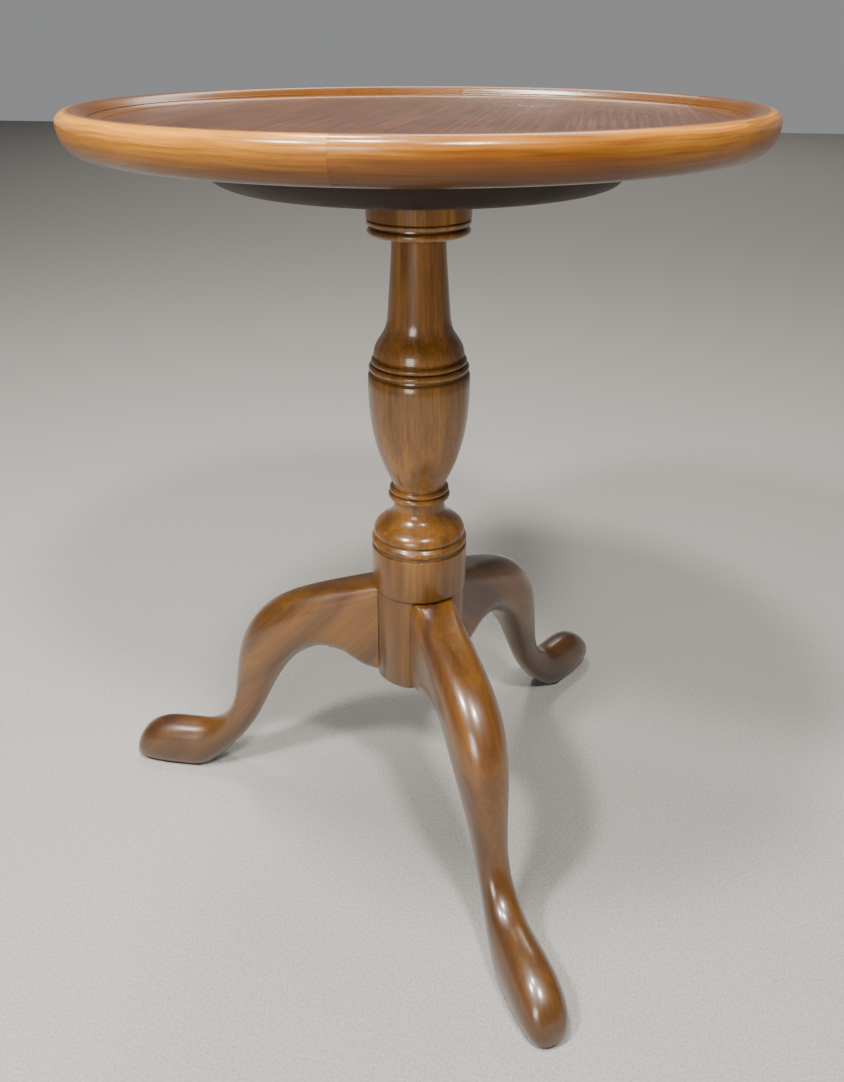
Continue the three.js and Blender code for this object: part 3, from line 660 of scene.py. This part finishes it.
def metal_group():
    """Aged metal: the bare colour, duller patches, and fine marks for its surface."""
    group, given, out = new_group(
        "Aged metal",
        [("Vector", VECTOR), ("Metal", COLOUR), ("Tarnish", COLOUR), ("Age", FLOAT),
         ("Gloss", FLOAT)],
        [("Color", COLOUR), ("Roughness", FLOAT), ("Height", FLOAT)])
    patches = spread(group, noise(group, given["Vector"], 130.0, 4.0, 0.65), 0.4, 0.7)
    share = maths(group, "MULTIPLY", patches, given["Age"])
    marks = noise(group, stretch(group, given["Vector"], (0.2, 1, 1)), 1800.0, 3.0)
    rough = maths(group, "ADD", given["Gloss"], maths(group, "MULTIPLY", share, 0.35))
    rough = maths(group, "ADD", rough, spread(group, marks, 0.3, 0.7, -0.05, 0.08))
    group.links.new(blend(group, share, given["Metal"], given["Tarnish"]), out["Color"])
    group.links.new(rough, out["Roughness"])
    group.links.new(marks, out["Height"])
    return group


GROUPS = {}


def group_node(tree, name, inputs):
    if name not in GROUPS:
        makers = {"Wood grain": wood_group, "Rubbed polish": polish_group, "Aged metal": metal_group}
        GROUPS[name] = makers[name]()
    return add_node(tree, "ShaderNodeGroup", inputs, node_tree=GROUPS[name]).outputs


def new_material(name):
    """A material, its node tree and its shader."""
    material = bpy.data.materials.new(name)
    material.use_nodes = True
    return material, material.node_tree, material.node_tree.nodes["Principled BSDF"]


def opaque(rgb):
    return (*rgb, 1.0)


GROOVE_PAINTED_SHADE = 0.55  # how far painted shade darkens the depth of a groove
COAT_ROUGHNESS = 0.17
GLOSS_CHANGE = 0.12


def darker(tree, share, colour_now, deep, strength):
    """Blends a colour towards a share of the wood's deep colour."""
    return blend(tree, share, colour_now, opaque([strength * c for c in deep]))


def wood(name, pale, deep, turn=None, gloss=0.24, coat=0.35, band=36.0, fibre=620.0,
         fibre_share=0.35, pores=0.5, dust=0.0, darkened=None, dark_inside=False,
         specular=0.25, bands=1.0, sway=0.014, relief=0.22):
    """A polished wood. Its grain follows an axis by a turn, or the piece's own grain attribute."""
    material, tree, shader = new_material(name)
    if turn is None:
        vector = add_node(tree, "ShaderNodeAttribute", attribute_name="grain").outputs["Vector"]
    else:
        inputs = {"Vector": object_place(tree), "Rotation": turn}
        vector = add_node(tree, "ShaderNodeMapping", inputs).outputs["Vector"]
    grain = group_node(tree, "Wood grain", {
        "Vector": vector, "Pale": opaque(pale), "Deep": opaque(deep), "Band Scale": band,
        "Bands": bands, "Fibre Scale": fibre, "Fibre": fibre_share, "Pores": pores, "Sway": sway})
    polish = group_node(tree, "Rubbed polish", {
        "Vector": vector, "Gloss": gloss, "Change": GLOSS_CHANGE, "Dust": dust})
    colour_now = grain["Color"]
    # Darker towards the bottom, up to a height: painted shade on the rim's underside and on the
    # pillar's hub; on the legs it darkens the feet.
    if darkened:
        full, clear, most = darkened
        share = spread(tree, up_of(tree, object_place(tree)), full, clear, most, 0.0)
        colour_now = darker(tree, share, colour_now, deep, 0.25)
    if dark_inside:
        place = vector_maths(tree, "SUBTRACT", {0: object_place(tree), 1: AXIS})
        radius = vector_maths(tree, "LENGTH", {0: stretch(tree, place, (1, 1, 0))}, "Value")
        share = spread(tree, radius, RIM_RADIUS - 10 * MM, RIM_RADIUS - 6.5 * MM, 0.93, 0.0)
        colour_now = darker(tree, share, colour_now, deep, 0.3)
    # Painted shade: grooves and hollows darkened by ambient occlusion, as shade would darken them.
    groove_shade = add_node(
        tree, "ShaderNodeAmbientOcclusion", {"Distance": 0.007}, only_local=True, samples=8)
    share = spread(tree, groove_shade.outputs["AO"], 0.35, 0.9, GROOVE_PAINTED_SHADE, 0.0)
    colour_now = darker(tree, share, colour_now, deep, 0.16)
    colour_now = blend(tree, polish["Dust Mask"], colour_now, (0.45, 0.4, 0.34, 1))
    inputs = {"Height": grain["Height"], "Strength": relief, "Distance": 0.0004}
    bump = add_node(tree, "ShaderNodeBump", inputs)
    tree.links.new(colour_now, shader.inputs["Base Color"])
    tree.links.new(polish["Roughness"], shader.inputs["Roughness"])
    tree.links.new(bump.outputs["Normal"], shader.inputs["Normal"])
    shader.inputs["Coat Weight"].default_value = coat
    shader.inputs["Coat Roughness"].default_value = COAT_ROUGHNESS
    shader.inputs["Specular IOR Level"].default_value = specular
    return material


def metal(name, rgb, tarnish, age, gloss, bump_strength):
    material, tree, shader = new_material(name)
    surface = group_node(tree, "Aged metal", {
        "Vector": object_place(tree), "Metal": opaque(rgb), "Tarnish": opaque(tarnish), "Age": age,
        "Gloss": gloss})
    bump = add_node(tree, "ShaderNodeBump", {
        "Height": surface["Height"], "Strength": bump_strength, "Distance": 0.0003})
    tree.links.new(surface["Color"], shader.inputs["Base Color"])
    tree.links.new(surface["Roughness"], shader.inputs["Roughness"])
    tree.links.new(bump.outputs["Normal"], shader.inputs["Normal"])
    shader.inputs["Metallic"].default_value = 0.95
    return material


# Ways of the grain as turns from X; a wood without one follows its pieces' own grain.
CROSSWISE = (0, 0, 0)
UPRIGHT = (0, math.radians(90), 0)
DEEPWISE = (0, 0, math.radians(90))

# Each wood's name, its pale and deep colours, and how it differs from plain polished wood.
WOODS = {
    # The rim's darkening towards its lower edge is painted shade.
    "Rim mahogany": ("rim", "rim_deep", {
        "gloss": 0.3, "coat": 0.45, "specular": 0.2, "band": 75, "fibre": 520, "fibre_share": 0.8,
        "pores": 0.4, "dark_inside": True, "darkened": (0.672, 0.692, 0.9)}),
    "Board mahogany": ("board", "board_deep", {
        "turn": DEEPWISE, "gloss": 0.32, "coat": 0.1, "band": 26, "bands": 0.35, "fibre": 300,
        "fibre_share": 1.7, "pores": 0.12, "dust": 0.02, "sway": 0.002, "relief": 0.8}),
    # The pillar's darkening towards the hub is painted shade.
    "Pillar mahogany": ("pillar", "pillar_deep", {
        "turn": UPRIGHT, "gloss": 0.34, "coat": 0.8, "band": 60, "fibre": 480, "fibre_share": 0.7,
        "pores": 0.6, "darkened": (0.25, 0.35, 0.68)}),
    "Leg mahogany": ("leg", "leg_deep", {
        "gloss": 0.36, "coat": 0.8, "specular": 0.5, "band": 34, "fibre": 400, "fibre_share": 0.7,
        "pores": 0.6, "darkened": (0.02, 0.12, 0.6)}),
    # Painted shade: the bearers' wood is coloured as dark as their shadow under the top.
    "Dark bearer wood": ("bearer", "bearer_deep", {
        "turn": CROSSWISE, "gloss": 0.5, "coat": 0.0, "band": 30, "fibre": 380, "fibre_share": 0.5,
        "pores": 0.7, "dust": 0.01}),
    "Block wood": ("pillar", "pillar_deep", {
        "turn": CROSSWISE, "gloss": 0.42, "coat": 0.1, "band": 40, "fibre": 420,
        "fibre_share": 0.5, "pores": 0.7}),
    "Sole wood": ("sole", "leg_deep", {
        "gloss": 0.45, "coat": 0.05, "band": 50, "fibre": 420, "fibre_share": 0.5, "pores": 0.6,
        "dust": 0.06}),
    "Wedge wood": ("rim", "rim_deep", {
        "turn": DEEPWISE, "gloss": 0.5, "coat": 0.0, "band": 90, "fibre": 900, "fibre_share": 0.4,
        "pores": 0.4}),
}
# Each metal's name, its colour, then tarnish, age, gloss and the strength of its fine marks.
METALS = {
    "Bolt brass": ("brass", (0.22, 0.12, 0.04), 0.55, 0.3, 0.15),
    "Plate iron": ("iron", (0.1, 0.045, 0.025), 0.5, 0.5, 0.5),
    "Screw steel": ("steel", (0.08, 0.055, 0.04), 0.6, 0.35, 0.15),
}


def finish(name):
    """One of the table's finishes, made when it is first asked for."""
    if name in bpy.data.materials:
        return bpy.data.materials[name]
    if name in METALS:
        key, *look = METALS[name]
        return metal(name, getattr(colours(), key), *look)
    pale, deep, look = WOODS[name]
    return wood(name, getattr(colours(), pale), getattr(colours(), deep), **look)


# ---- the pieces


class MakeBoard(bpy.types.Operator):
    """Makes the round board of the top"""

    bl_idname = "tilt_top.board"
    bl_label = "Top board"

    def execute(self, context):
        edge = sizes().eased_edge
        radius, ease = BOARD_RADIUS / MM, edge / MM
        foot, top = UNDERSIDE / MM, BOARD_TOP / MM
        points = [
            (0, foot),
            (radius - ease, foot),
            *arc(radius - ease, foot + ease, ease, -60, 0, 2),
            *arc(radius - ease / 2, top - ease / 2, ease / 2, 0, 60, 2),
            (radius - ease, top),
            (0, top),
        ]
        spun(points, SEGMENTS * sizes().rim_sides)
        place_piece(finished("table_board"), "top", "Board mahogany", "top_board")
        return {"FINISHED"}


class MakeRim(bpy.types.Operator):
    """Makes the moulded rim from six segments that meet in radial joints"""

    bl_idname = "tilt_top.rim"
    bl_label = "Rim"

    def execute(self, context):
        share = math.tau / SEGMENTS
        gap = RIM_JOINT / BOARD_RADIUS
        corners = [AXIS + Vector((r * MM, 0, z * MM)) for r, z in rim_outline()]
        drawn_out(corners)
        ends = (corners[0], corners[-1])
        pick("VERT", lambda place, item: any((place - end).length < 0.01 * MM for end in ends))
        bpy.ops.mesh.edge_face_add()
        pick_all()
        bpy.ops.mesh.spin(steps=sizes().rim_sides, angle=share - gap, center=AXIS, axis=(0, 0, 1))
        bpy.ops.mesh.select_all(action="DESELECT")
        bpy.ops.mesh.select_mode(type="EDGE")
        bpy.ops.mesh.select_non_manifold()
        bpy.ops.mesh.fill_holes(sides=0)
        clean()
        master = finished("rim_master", smooth=28)
        middle = sum((v.co - AXIS for v in master.data.vertices), Vector())
        across = math.atan2(middle.y, middle.x)
        bend_grain(master, across)
        turns = [math.degrees(share * (index + 1) - across) for index in range(SEGMENTS)]
        copies_round(
            master, "rim", "rim_segment", turns, (0.31, 0.083, 0.047), "top", "Rim mahogany")
        return {"FINISHED"}


class MakeBearers(bpy.types.Operator):
    """Makes the two half-moon bearers with their rounded lower edge"""

    bl_idname = "tilt_top.bearers"
    bl_label = "Bearers"

    def execute(self, context):
        radius = BEARER_RADIUS / MM
        foot, top = BLOCK_LOW.z / MM, BLOCK_HIGH.z / MM
        corner = radius - BEARER_ROUND
        side = [(corner + BEARER_ROUND * math.sin(t), top - (top - foot) * math.cos(t))
                for t in (math.radians(7.5 * i) for i in range(12))]
        points = [(0, foot), *side, (radius, top - 0.8), (radius - 0.6, top), (0, top)]
        for name, sign in (("front", -1), ("rear", 1)):
            spun(points, BEARER_SIDES)
            bpy.ops.mesh.bisect(
                plane_co=(0, sign * BEARER_FLAT, 0), plane_no=(0, sign, 0),
                use_fill=True, clear_inner=True)
            pick("EDGE", lambda place, item: abs(abs(place.y) - BEARER_FLAT) < 0.01 * MM)
            ease(sizes().eased_edge / 2)
            clean()
            piece = finished(f"bearer_half_{name}")
            place_piece(piece, "top", "Dark bearer wood", f"bearer_{name}")
        return {"FINISHED"}


class MakeBlock(bpy.types.Operator):
    """Makes the pivot block, rounded where it turns, with the pillar's tenon hole"""

    bl_idname = "tilt_top.block"
    bl_label = "Pivot block"

    def execute(self, context):
        half = (BLOCK_HIGH.z - BLOCK_LOW.z) / 2
        block_between(BLOCK_LOW, BLOCK_HIGH)
        pick("EDGE", lambda place, item: place.x > BLOCK_HIGH.x - MM and place.z > BLOCK_HIGH.z - MM)
        ease(half, segments=16)
        ease_sharp(sizes().eased_edge)
        clean()
        piece = finished("block")
        bpy.ops.mesh.primitive_cylinder_add(
            vertices=64, radius=TENON * MM + GAP, depth=0.05, location=(AXIS.x, 0, PIVOT_Z))
        cut(piece, bpy.context.object)
        bolt = low("slide_bolt"), high("slide_bolt")
        block_between(
            (BLOCK_LOW.x - 3 * MM, bolt[0].y - BOLT_WAY, bolt[1].z - BOLT_THICK - BOLT_WAY),
            (BLOCK_LOW.x + BOLT_WAY_DEEP, bolt[1].y + BOLT_WAY, bolt[1].z + BOLT_WAY))
        cut(piece, finished("bolt_way"))
        place_piece(piece, "base", "Block wood", "pivot_block")
        return {"FINISHED"}


class MakePillar(bpy.types.Operator):
    """Makes the pillar: a hub cut flat for the legs, the turnings above it and a wedged tenon"""

    bl_idname = "tilt_top.pillar"
    bl_label = "Pillar"

    def execute(self, context):
        spun(pillar_outline(), sizes().turned_sides)
        turned = finished("turned_pillar", smooth=40)
        piece = joined(turned, self.hub(), self.tenon())
        place_piece(piece, "base", "Pillar mahogany", "pillar")
        for index in (1, 2):
            give_finish(frame["nodes"][f"tenon_wedge_{index}"], "Wedge wood")
        return {"FINISHED"}

    def hub(self):
        """A round post with a flat for each leg and eased lower edges."""
        post(HUB * MM, HUB_BOTTOM, (BAND_BOTTOM + 2) * MM, 96)
        for turn in LEG_TURNS:
            out = Vector((math.cos(math.radians(turn)), math.sin(math.radians(turn)), 0))
            seat = AXIS + out * (LEG_ROOT * MM - GAP)
            pick_all()
            bpy.ops.mesh.bisect(plane_co=seat, plane_no=out, use_fill=True, clear_outer=True)
        clean()
        ease_sharp(sizes().eased_edge, CORNER)
        return finished("hub")

    def tenon(self):
        """The tenon through the block, sawn for its two wedges."""
        post(TENON * MM, (COLUMN_TOP - 2) * MM, BLOCK_HIGH.z, 64)
        clean()
        ease_sharp(GAP, CORNER)
        tenon = finished("tenon")
        for index in (1, 2):
            wedge = low(f"tenon_wedge_{index}"), high(f"tenon_wedge_{index}")
            block_between(
                (AXIS.x - TENON * MM - MM, wedge[0].y - GAP, wedge[0].z),
                (AXIS.x + TENON * MM + MM, wedge[1].y + GAP, wedge[1].z + MM))
            cut(tenon, finished("kerf"))
        return tenon


class MakeLegs(bpy.types.Operator):
    """Makes one cabriole leg from rounded sections and copies it round the pillar"""

    bl_idname = "tilt_top.legs"
    bl_label = "Legs"

    def execute(self, context):
        shift = (0.43, 0.17, 0.11)
        copies_round(self.leg(), "cabriole", "leg", LEG_TURNS, shift, "base", "Leg mahogany")
        return {"FINISHED"}

    def leg(self):
        """A leg that points along +X."""
        nothing_selected()
        sections = leg_sections(sizes().leg_rings)
        bpy.ops.mesh.primitive_plane_add(size=MM, location=AXIS)
        edit()
        bpy.ops.mesh.delete(type="VERT")
        rings = [self.ring(*section) for section in sections]
        pick_all()
        bpy.ops.mesh.delete(type="ONLY_FACE")
        for first, second in zip(rings, rings[1:]):
            both = first | second
            pick("VERT", lambda place, item: self.key(place) in both)
            bpy.ops.mesh.bridge_edge_loops()
        for ring in (rings[0], rings[-1]):
            pick("VERT", lambda place, item: self.key(place) in ring)
            bpy.ops.mesh.edge_face_add()
        clean()
        bpy.ops.mesh.bisect(
            plane_co=(0, 0, SOLE_TOP + GAP), plane_no=(0, 0, 1), use_fill=True, clear_inner=True)
        clean()
        piece = finished("leg_master", smooth=40)
        set_grain(piece, Matrix.Rotation(LEG_GRAIN_FALL, 3, "Y").inverted())
        return piece

    @staticmethod
    def key(place):
        return tuple(round(value / MM, 2) for value in place)

    def ring(self, upper_out, upper_up, lower_out, lower_up, half, rounding):
        """Adds one rounded section that stands across the leg, and tells its corners' places."""
        upper, lower = Vector((upper_out, 0, upper_up)), Vector((lower_out, 0, lower_up))
        middle = AXIS + (upper + lower) / 2 * MM
        across = upper - lower
        bpy.ops.mesh.primitive_circle_add(
            vertices=4, radius=math.sqrt(0.5), fill_type="NGON", location=middle,
            rotation=(0, 0, math.radians(45)))
        bpy.ops.mesh.bevel(affect="VERTICES", offset=rounding, segments=8, profile=0.5)
        size = (across.length * MM, 2 * half * MM, 1)
        bpy.ops.transform.resize(value=size, center_override=middle)
        rise = math.atan2(across.z, across.x)
        bpy.ops.transform.rotate(value=rise, orient_axis="Y", center_override=middle)
        holder = bpy.context.edit_object
        mesh = bmesh.from_edit_mesh(holder.data)
        return {self.key(holder.matrix_world @ v.co) for v in mesh.verts if v.select}


class MakeSoles(bpy.types.Operator):
    """Makes the thin soles under the feet"""

    bl_idname = "tilt_top.soles"
    bl_label = "Soles"

    def execute(self, context):
        box = low("foot_sole_1"), high("foot_sole_1")
        heel, tip = 2 * AXIS.x - box[1].x, 2 * AXIS.x - box[0].x
        middle = (tip - SOLE_TOE, 0, 0)
        nothing_selected()
        bpy.ops.mesh.primitive_circle_add(vertices=64, radius=1, fill_type="NGON", location=middle)
        edit()
        bpy.ops.transform.resize(value=(SOLE_TOE, box[1].y, 1), center_override=middle)
        pick("VERT", lambda place, item: place.x < middle[0] - 0.1 * MM)
        bpy.ops.transform.resize(value=(0, 1, 1), center_override=middle)
        bpy.ops.transform.translate(value=(heel - middle[0], 0, 0))
        pick_all()
        bpy.ops.mesh.dissolve_limited(angle_limit=math.radians(1))
        pick("VERT", lambda place, item: place.x < heel + MM)
        bpy.ops.mesh.bevel(affect="VERTICES", offset=SOLE_HEEL, segments=3, profile=0.5)
        pick_all()
        extrude((0, 0, SOLE_TOP))
        clean()
        ease_sharp(sizes().eased_edge, CORNER, clamp=True)
        clean()
        master = finished("sole_master")
        set_grain(master, Matrix.Identity(3))
        shift = (0.2, 0.05, 0)
        copies_round(master, "sole", "foot_sole", LEG_TURNS, shift, "base", "Sole wood")
        return {"FINISHED"}


class MakePlate(bpy.types.Operator):
    """Makes the three-armed iron plate under the hub"""

    bl_idname = "tilt_top.plate"
    bl_label = "Iron plate"

    def execute(self, context):
        piece = merged_copy("iron_plate", "hub_plate", sizes().metal_edge)
        place_piece(piece, "base", "Plate iron", "iron_plate")
        return {"FINISHED"}


class MakeBolt(bpy.types.Operator):
    """Makes the brass bolt, its case and its strike plate"""

    bl_idname = "tilt_top.bolt"
    bl_label = "Brass bolt"

    def execute(self, context):
        edge = sizes().metal_edge
        case = merged_copy("bolt_case", "bolt_guides", edge)
        place_piece(case, "top", "Bolt brass", "bolt_case")
        strike = merged_copy("strike_plate", "bolt_strike", edge)
        place_piece(strike, "base", "Bolt brass", "strike_plate")
        place_piece(self.bar(), "bolt", "Bolt brass", "slide_bolt")
        return {"FINISHED"}

    def bar(self):
        """A flat bar with a chamfered nose, and a round knob on a neck below it."""
        first, last = low("slide_bolt"), high("slide_bolt")
        foot = last.z - BOLT_THICK
        block_between((first.x, -BOLT_HALF_WIDTH, foot), (last.x, BOLT_HALF_WIDTH, last.z))
        pick("EDGE", lambda place, item: place.x > last.x - 0.1 * MM and place.z < foot + 0.1 * MM)
        ease(BOLT_NOSE, segments=1)
        ease_sharp(sizes().metal_edge)
        clean()
        bar = finished("locking_bolt")
        knob = Vector((self.knob_place(), 0, 0))
        root = foot / MM
        ball = root - 3.5 - KNOB_RADIUS
        points = [
            *arc(0, ball, KNOB_RADIUS, -90, 62, 14),
            (KNOB_NECK + 0.3, ball + KNOB_RADIUS - 0.3),
            (KNOB_NECK, ball + KNOB_RADIUS + 0.5),
            (KNOB_NECK, root - 0.8),
            (KNOB_NECK + 0.8, root + 0.4),
            (0, root + 0.4),
        ]
        spun(points, 32, axis=knob)
        return joined(bar, finished("knob"))

    def knob_place(self):
        """The middle of the knob along X, from the bolt's lowest corners."""
        part = frame["nodes"]["slide_bolt"].data
        floor = min(v.co.z for v in part.vertices) + 8 * MM
        places = [v.co.x for v in part.vertices if v.co.z < floor]
        return (min(places) + max(places)) / 2


SCREWS = (  # start of the name, length, half the shank, half the head, body and finish
    ("bearer_screw_", 40, 2.2, 4.6, "top", "Screw steel"),
    ("iron_screw_", 22, 1.9, 3.8, "base", "Screw steel"),
    ("case_screw_", 11, 1.3, 2.7, "top", "Bolt brass"),
    ("strike_screw_", 11, 1.3, 2.7, "base", "Bolt brass"),
)


class MakeScrews(bpy.types.Operator):
    """Makes a slotted screw of each kind and sets its copies in their places"""

    bl_idname = "tilt_top.screws"
    bl_label = "Screws and pins"

    def execute(self, context):
        for prefix, long, shank, head, body, finish_name in SCREWS:
            master = self.screw(long, shank, head)
            names = sorted(name for name in frame["nodes"] if name.startswith(prefix))
            for index, node in enumerate(names):
                place = self.place_of(node, long) @ Matrix.Rotation(0.4 + 1.1 * index, 4, "Z")
                piece = copy_of(master, f"slotted_{node}", place)
                place_piece(piece, body, finish_name, node)
            remove(master)
        for side in ("front", "rear"):
            give_finish(frame["nodes"][f"pivot_pin_{side}"], "Screw steel")
        return {"FINISHED"}

    def screw(self, long, shank, head):
        """A countersunk screw with its head's face down at the origin, slotted."""
        ridge = shank * 0.16
        thread = []
        pitch = shank * 0.62
        turns = int(long * 0.45 / pitch)
        for i in range(turns):
            up = long * 0.38 + i * pitch
            thread += [(shank - ridge * 2, up), (shank, up + pitch * 0.3), (shank, up + pitch * 0.45)]
        points = [
            (0, 0.05),
            (head - 0.25, 0.05),
            (head, 0.3),
            (head, 0.5),
            (shank, 0.5 + head - shank),
            (shank, long * 0.36),
            *thread,
            (shank * 0.5, long * 0.92),
            (0.05, long),
            (0, long),
        ]
        spun(points, 28, axis=Vector())
        piece = finished("screw_master")
        half = head * 0.12 * MM
        block_between((-head * 1.2 * MM, -half, -MM), (head * 1.2 * MM, half, head * 0.28 * MM))
        return cut(piece, finished("slot_tool"))

    def place_of(self, node, long):
        """Where a screw's head stands and which way its point goes, from the frame's screw."""
        found = {tuple(round(c, 6) for c in v.co) for v in frame["nodes"][node].data.vertices}
        corners = [Vector(c) for c in found]
        middle = sum(corners, Vector()) / len(corners)
        point = max(corners, key=lambda c: (c - middle).length)
        tip = [c for c in corners if (c - point).length < 1.5 * MM]
        tip = sum(tip, Vector()) / len(tip)
        way = (tip - middle).normalized()
        turn = Vector((0, 0, 1)).rotation_difference(way).to_matrix().to_4x4()
        return Matrix.Translation(tip - way * long * MM) @ turn


# ---- stage


FLOOR_SIZE = 16
LAMP_COLOUR = (1.0, 0.95, 0.88)
LAMPS = (  # name, place, where it points, size in metres and power in watts
    ("Front", (-0.5, -2.7, 1.05), (0.02, 0, 0.5), 0.9, 42),
    ("Ceiling left", (-0.9, -1.3, 2.3), (0.02, 0, 0.3), 0.28, 96),
    ("Ceiling right", (0.7, -1.2, 2.35), (0.02, 0, 0.3), 0.28, 84),
    ("Ceiling near", (-0.25, -0.65, 2.5), (0.02, 0, 0.2), 0.28, 74),
    ("Ceiling far", (-0.5, 0.7, 2.4), (0.02, 0, 0.4), 0.3, 30),
    ("Back", (0, 5.5, 5), (0, 5.5, 0), 3.0, 190),
)
CAMERA_TURN = math.radians(10.35)  # round the pillar, from straight in front
CAMERA_PLACE = Vector((2.67, -841.5, 751.15)) * MM  # from the pillar's foot, before the turn
CAMERA_TIP = math.radians(90 - 22.454)
CAMERA_LENS = 32.69
CAMERA_SHIFT = -0.0932


class MakeStage(bpy.types.Operator):
    """Sets the pale floor, the soft lights and the camera"""

    bl_idname = "tilt_top.stage"
    bl_label = "Floor, lights and camera"

    def execute(self, context):
        self.floor()
        self.sky()
        for lamp in LAMPS:
            self.light(*lamp)
        self.camera()
        return {"FINISHED"}

    def floor(self):
        nothing_selected()
        bpy.ops.mesh.primitive_plane_add(size=FLOOR_SIZE, location=(0, 0, 0))
        floor = bpy.context.object
        floor.name = "floor"
        material, tree, shader = new_material("Pale floor")
        fine = spread(tree, noise(tree, object_place(tree), 420.0, 4.0, 0.7), 0.35, 0.65)
        tone = blend(tree, fine, (0.2, 0.197, 0.19, 1), (0.3, 0.296, 0.286, 1))
        tree.links.new(tone, shader.inputs["Base Color"])
        shader.inputs["Roughness"].default_value = 0.9
        floor.data.materials.append(material)

    def sky(self):
        world = bpy.data.worlds.new("Studio")
        world.use_nodes = True
        tree = world.node_tree
        up = up_of(tree, add_node(tree, "ShaderNodeTexCoord").outputs["Generated"])
        tone = blend(tree, spread(tree, up, 0.04, 0.3), (0.97, 0.98, 1, 1), (0.38, 0.38, 0.39, 1))
        tree.links.new(tone, tree.nodes["Background"].inputs["Color"])
        tree.nodes["Background"].inputs["Strength"].default_value = 0.28
        bpy.context.scene.world = world

    def light(self, name, place, target, size, power):
        way = Vector(place) - Vector(target)
        bpy.ops.object.light_add(
            type="AREA", location=place, rotation=way.to_track_quat("Z", "Y").to_euler())
        lamp = bpy.context.object
        lamp.name = name
        lamp.data.size = size
        lamp.data.energy = power
        lamp.data.color = LAMP_COLOUR

    def camera(self):
        place = Matrix.Rotation(CAMERA_TURN, 3, "Z") @ CAMERA_PLACE + AXIS
        bpy.ops.object.camera_add(location=place, rotation=(CAMERA_TIP, 0, CAMERA_TURN))
        camera = bpy.context.object
        camera.name = "Camera"
        camera.data.lens = CAMERA_LENS
        camera.data.sensor_width = 36
        camera.data.shift_y = CAMERA_SHIFT
        bpy.context.scene.camera = camera


class TiltTopPanel(bpy.types.Panel):
    """Lists the steps that build the table"""

    bl_idname = "VIEW3D_PT_tilt_top"
    bl_label = "Tilt top table"
    bl_space_type = "VIEW_3D"
    bl_region_type = "UI"
    bl_category = "Tilt top table"

    def draw(self, context):
        for group in (context.scene.tilt_top_sizes, context.scene.tilt_top_colours):
            for name in group.__annotations__:
                self.layout.prop(group, name)
        for step in STEPS:
            self.layout.operator(step.bl_idname)


STEPS = (
    MakeBoard, MakeRim, MakeBearers, MakeBlock, MakePillar, MakeLegs, MakeSoles, MakePlate,
    MakeBolt, MakeScrews, MakeStage,
)
CLASSES = (TableSizes, TableColours, *STEPS, TiltTopPanel)


def register():
    for each in CLASSES:
        bpy.utils.register_class(each)
    bpy.types.Scene.tilt_top_sizes = bpy.props.PointerProperty(type=TableSizes)
    bpy.types.Scene.tilt_top_colours = bpy.props.PointerProperty(type=TableColours)


def unregister():
    del bpy.types.Scene.tilt_top_colours
    del bpy.types.Scene.tilt_top_sizes
    for each in reversed(CLASSES):
        bpy.utils.unregister_class(each)


def main():
    register()
    for step in STEPS:
        group, name = step.bl_idname.split(".")
        getattr(getattr(bpy.ops, group), name)()


if __name__ == "__main__":
    main()
